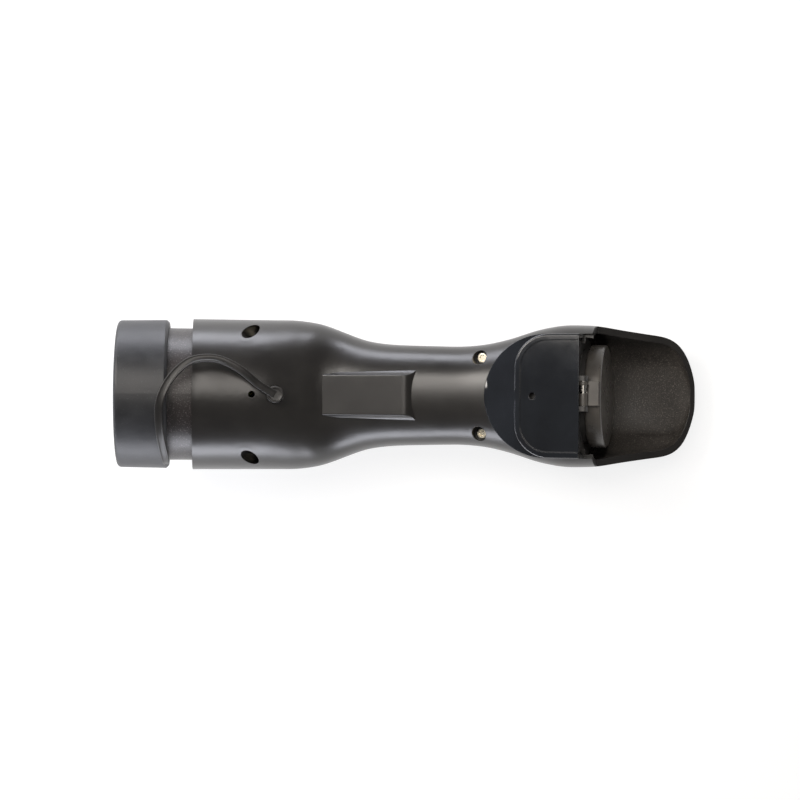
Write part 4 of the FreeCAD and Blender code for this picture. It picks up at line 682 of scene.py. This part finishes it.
class ADAPTER_OT_lid(bpy.types.Operator):
    """Finishes the sprung lid, its gasket, its hinge pin and its spring"""
    bl_idname = "adapter.lid"
    bl_label = "Lid"

    def execute(self, context):
        # ABS from a half-polished tool: a warm dark grey with a soft sheen along its rounded back edge.
        # Its colour is painted lighter than that dark grey: a painted highlight spread over the whole lid.
        sheen = moulded("semi_gloss_abs_painted_highlight", context.scene.adapter_colours.lid, linear("#524e49"), 10.0,
                        0.3, 0.05, grain_mm=0.6, grain_depth_mm=0.012, edge_mm=0.35, ior=1.54)
        # Moulded nitrile rubber: matt black, with a slight bloom.
        nitrile = moulded("nitrile_rubber", linear("#1c1c1d"), linear("#2b2b2d"), 3.0, 0.6, 0.06,
                          grain_mm=0.4, grain_depth_mm=0.01, ior=1.52)
        dress(sheen, "socket_lid")
        dress(nitrile, "lid_gasket")
        # Stainless pin, centreless ground: bright, with fine rings round it.
        dress(metal("ground_stainless", linear("#c6c3bd"), linear("#99948c"), 0.2, 0.5, 0.003,
                    (1.0, 4.0, 1.0)), "lid_hinge_pin")
        # Drawn spring wire: darker, with marks along the wire.
        dress(metal("spring_wire", linear("#9d9a95"), linear("#6e6a64"), 0.28, 0.35, 0.004),
              "lid_spring", "shutter_spring")
        return {"FINISHED"}


class ADAPTER_OT_shell_screws(bpy.types.Operator):
    """Finishes the four screws that hold the half shells"""
    bl_idname = "adapter.shell_screws"
    bl_label = "Shell screws"

    def execute(self, context):
        # Cold-headed steel, zinc plated and yellow passivated: a pale straw metal, greyer where it is worn.
        zinc = metal("passivated_zinc", context.scene.adapter_colours.screw, linear("#b3a98f"),
                     0.26, 1.1, 0.006)
        dress(zinc, "barrel_screws", "grip_screws")
        return {"FINISHED"}


class ADAPTER_OT_socket(bpy.types.Operator):
    """Finishes the socket behind the lid and what is inside it"""
    bl_idname = "adapter.socket"
    bl_label = "Socket"

    def execute(self, context):
        # Glass-filled PBT from a plain machined tool: an even dark grey with a dull sheen.
        dress(moulded("filled_pbt", linear("#343332"), linear("#3e3c3a"), 9.0, 0.42, 0.05,
                      grain_mm=0.6, grain_depth_mm=0.012, edge_mm=0.25, ior=1.57),
              "socket_body", "socket_back")
        # Acetal, moulded: a waxy off-white that lets a shutter slide.
        dress(moulded("moulded_acetal", linear("#8f8d88"), linear("#9a9893"), 6.0, 0.35, 0.05,
                      grain_mm=0.8, grain_depth_mm=0.006, edge_mm=0.2, ior=1.48), "socket_shutter")
        # Melamine phenolic, pressed: a hard mid grey, a little mottled by its filler.
        dress(moulded("pressed_phenolic", linear("#5a5855"), linear("#6a6762"), 3.0, 0.38, 0.06,
                      grain_mm=0.5, grain_depth_mm=0.01, ior=1.63), "contact_block")
        # Stamped brass, tumbled: yellow, with soft short scratches.
        dress(metal("tumbled_brass", linear("#d9b268"), linear("#a8844a"), 0.26, 0.6, 0.006),
              "socket_neutral_clip", "socket_line_clip")
        # Stamped spring steel, nickel plated: a warm grey mirror with marks along the strip.
        dress(metal("nickel_plate", linear("#b9b1a4"), linear("#8b8479"), 0.22, 0.7, 0.005,
                    (0.3, 1.0, 1.0)), "earth_clip")
        # Zinc-plated steel, clear passivated: bluish and bright, with a few dull spots.
        dress(metal("clear_zinc", linear("#b7bcc2"), linear("#868a8e"), 0.3, 0.9, 0.01),
              "socket_screws", "carrier_screws", "board_screws")
        return {"FINISHED"}


class ADAPTER_OT_contacts(bpy.types.Operator):
    """Finishes the nose's contacts and what carries them"""
    bl_idname = "adapter.contacts"
    bl_label = "Contacts"

    def execute(self, context):
        # Glass-filled polyamide from a polished tool: black, with the faint flow marks of its glass.
        dress(moulded("smooth_polyamide", linear("#232324"), linear("#2e2e30"), 7.0, 0.33, 0.05,
                      grain_mm=1.2, grain_depth_mm=0.01, edge_mm=0.25, ior=1.53),
              "contact_carrier", "contact_retainer")
        # Turned brass, silver plated: pale and soft, tarnished yellow in places, with fine turning marks.
        dress(metal("silver_plate", linear("#d8d5cc"), linear("#b5a98c"), 0.24, 0.5, 0.004),
              "neutral_contact", "earth_contact", "line_contact", "pilot_contact", "proximity_contact")
        return {"FINISHED"}


class ADAPTER_OT_start_button(bpy.types.Operator):
    """Finishes the start button, its switch and its board"""
    bl_idname = "adapter.start_button"
    bl_label = "Start button"

    def execute(self, context):
        # Silicone rubber, press-moulded: matt, slightly dusty, and dark like the shell round it.
        dress(moulded("pressed_silicone", linear("#3a3b3d"), linear("#484a4c"), 5.0, 0.58, 0.06,
                      grain_mm=0.5, grain_depth_mm=0.015, edge_mm=0.4, ior=1.41), "push_button")
        # Its spring, coiled from fine drawn wire, is a copy of the solid that stays with the housing.
        solid = frame["nodes"]["button_spring"]
        coil = bpy.data.objects.new("button_coil", solid.data.copy())
        context.scene.collection.objects.link(coil)
        coil.data.materials.clear()
        coil.data.materials.append(metal("fine_spring_wire", linear("#9d9a95"), linear("#6e6a64"),
                                         0.28, 0.35, 0.004))
        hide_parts("button_spring")
        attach(coil, "housing")
        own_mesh(coil)
        # Filled polyester of a small switch: black, with a dull grain.
        dress(moulded("switch_polyester", linear("#1d1d1e"), linear("#2a2a2b"), 3.0, 0.45, 0.06,
                      grain_mm=0.4, grain_depth_mm=0.01, edge_mm=0.15, ior=1.57), "microswitch")
        # Glass-epoxy laminate under solder mask: a glossy green, its cloth's 0.5 mm weave just showing.
        dress(moulded("masked_laminate", linear("#1f5a38"), linear("#2a6b45"), 0.5, 0.25, 0.05,
                      grain_mm=0.5, grain_depth_mm=0.006, edge_mm=0.1, ior=1.55), "control_board")
        # Fired enamel on a ceramic rod: a pale blue with a soft gloss.
        dress(moulded("resistor_enamel", linear("#86a6b8"), linear("#7594a8"), 2.0, 0.2, 0.04,
                      grain_mm=1.0, grain_depth_mm=0.006, ior=1.52), "coding_resistor")
        return {"FINISHED"}


class ADAPTER_OT_leads(bpy.types.Operator):
    """Finishes the insulated leads inside the housing"""
    bl_idname = "adapter.leads"
    bl_label = "Leads"

    def execute(self, context):
        # Extruded PVC insulation: a soft even gloss with slight waves along the lead.
        for node, colour, cloud in (("neutral_wire", "#1f4f9a", "#2a5aa6"),
                                    ("earth_wire", "#4f8a2c", "#c9b52e"),
                                    ("line_wire", "#5b3722", "#66402a"),
                                    ("pilot_wire", "#d3d1c8", "#c4c2b8"),
                                    ("proximity_wire", "#77797a", "#838586")):
            dress(moulded(node.replace("wire", "insulation"), linear(colour), linear(cloud), 4.0,
                          0.32, 0.05, grain_mm=1.5, grain_depth_mm=0.02, ior=1.53), node)
        return {"FINISHED"}


class ADAPTER_PT_pieces(bpy.types.Panel):
    """Lists the adapter's pieces, sizes and colours"""
    bl_idname = "ADAPTER_PT_pieces"
    bl_label = "Vehicle-to-load adapter"
    bl_space_type = "VIEW_3D"
    bl_region_type = "UI"
    bl_category = "Adapter"

    def draw(self, context):
        for group in (context.scene.adapter_sizes, context.scene.adapter_colours):
            column = self.layout.column()
            for name in group.__annotations__:
                column.prop(group, name)
        column = self.layout.column()
        for operator in OPERATORS:
            column.operator(operator.bl_idname)


OPERATORS = (ADAPTER_OT_stage, ADAPTER_OT_half_shells, ADAPTER_OT_socket_cover, ADAPTER_OT_nose,
             ADAPTER_OT_dust_cap, ADAPTER_OT_cap_strap, ADAPTER_OT_lid, ADAPTER_OT_shell_screws,
             ADAPTER_OT_socket, ADAPTER_OT_contacts, ADAPTER_OT_start_button, ADAPTER_OT_leads)
CLASSES = (AdapterSizes, AdapterColours, *OPERATORS, ADAPTER_PT_pieces)


def register():
    for piece in CLASSES:
        bpy.utils.register_class(piece)
    bpy.types.Scene.adapter_sizes = bpy.props.PointerProperty(type=AdapterSizes)
    bpy.types.Scene.adapter_colours = bpy.props.PointerProperty(type=AdapterColours)


def unregister():
    del bpy.types.Scene.adapter_colours
    del bpy.types.Scene.adapter_sizes
    for piece in reversed(CLASSES):
        bpy.utils.unregister_class(piece)


def main():
    register()
    bpy.ops.adapter.stage()
    bpy.ops.adapter.half_shells()
    bpy.ops.adapter.socket_cover()
    bpy.ops.adapter.nose()
    bpy.ops.adapter.dust_cap()
    bpy.ops.adapter.cap_strap()
    bpy.ops.adapter.lid()
    bpy.ops.adapter.shell_screws()
    bpy.ops.adapter.socket()
    bpy.ops.adapter.contacts()
    bpy.ops.adapter.start_button()
    bpy.ops.adapter.leads()


if __name__ == "__main__":
    main()
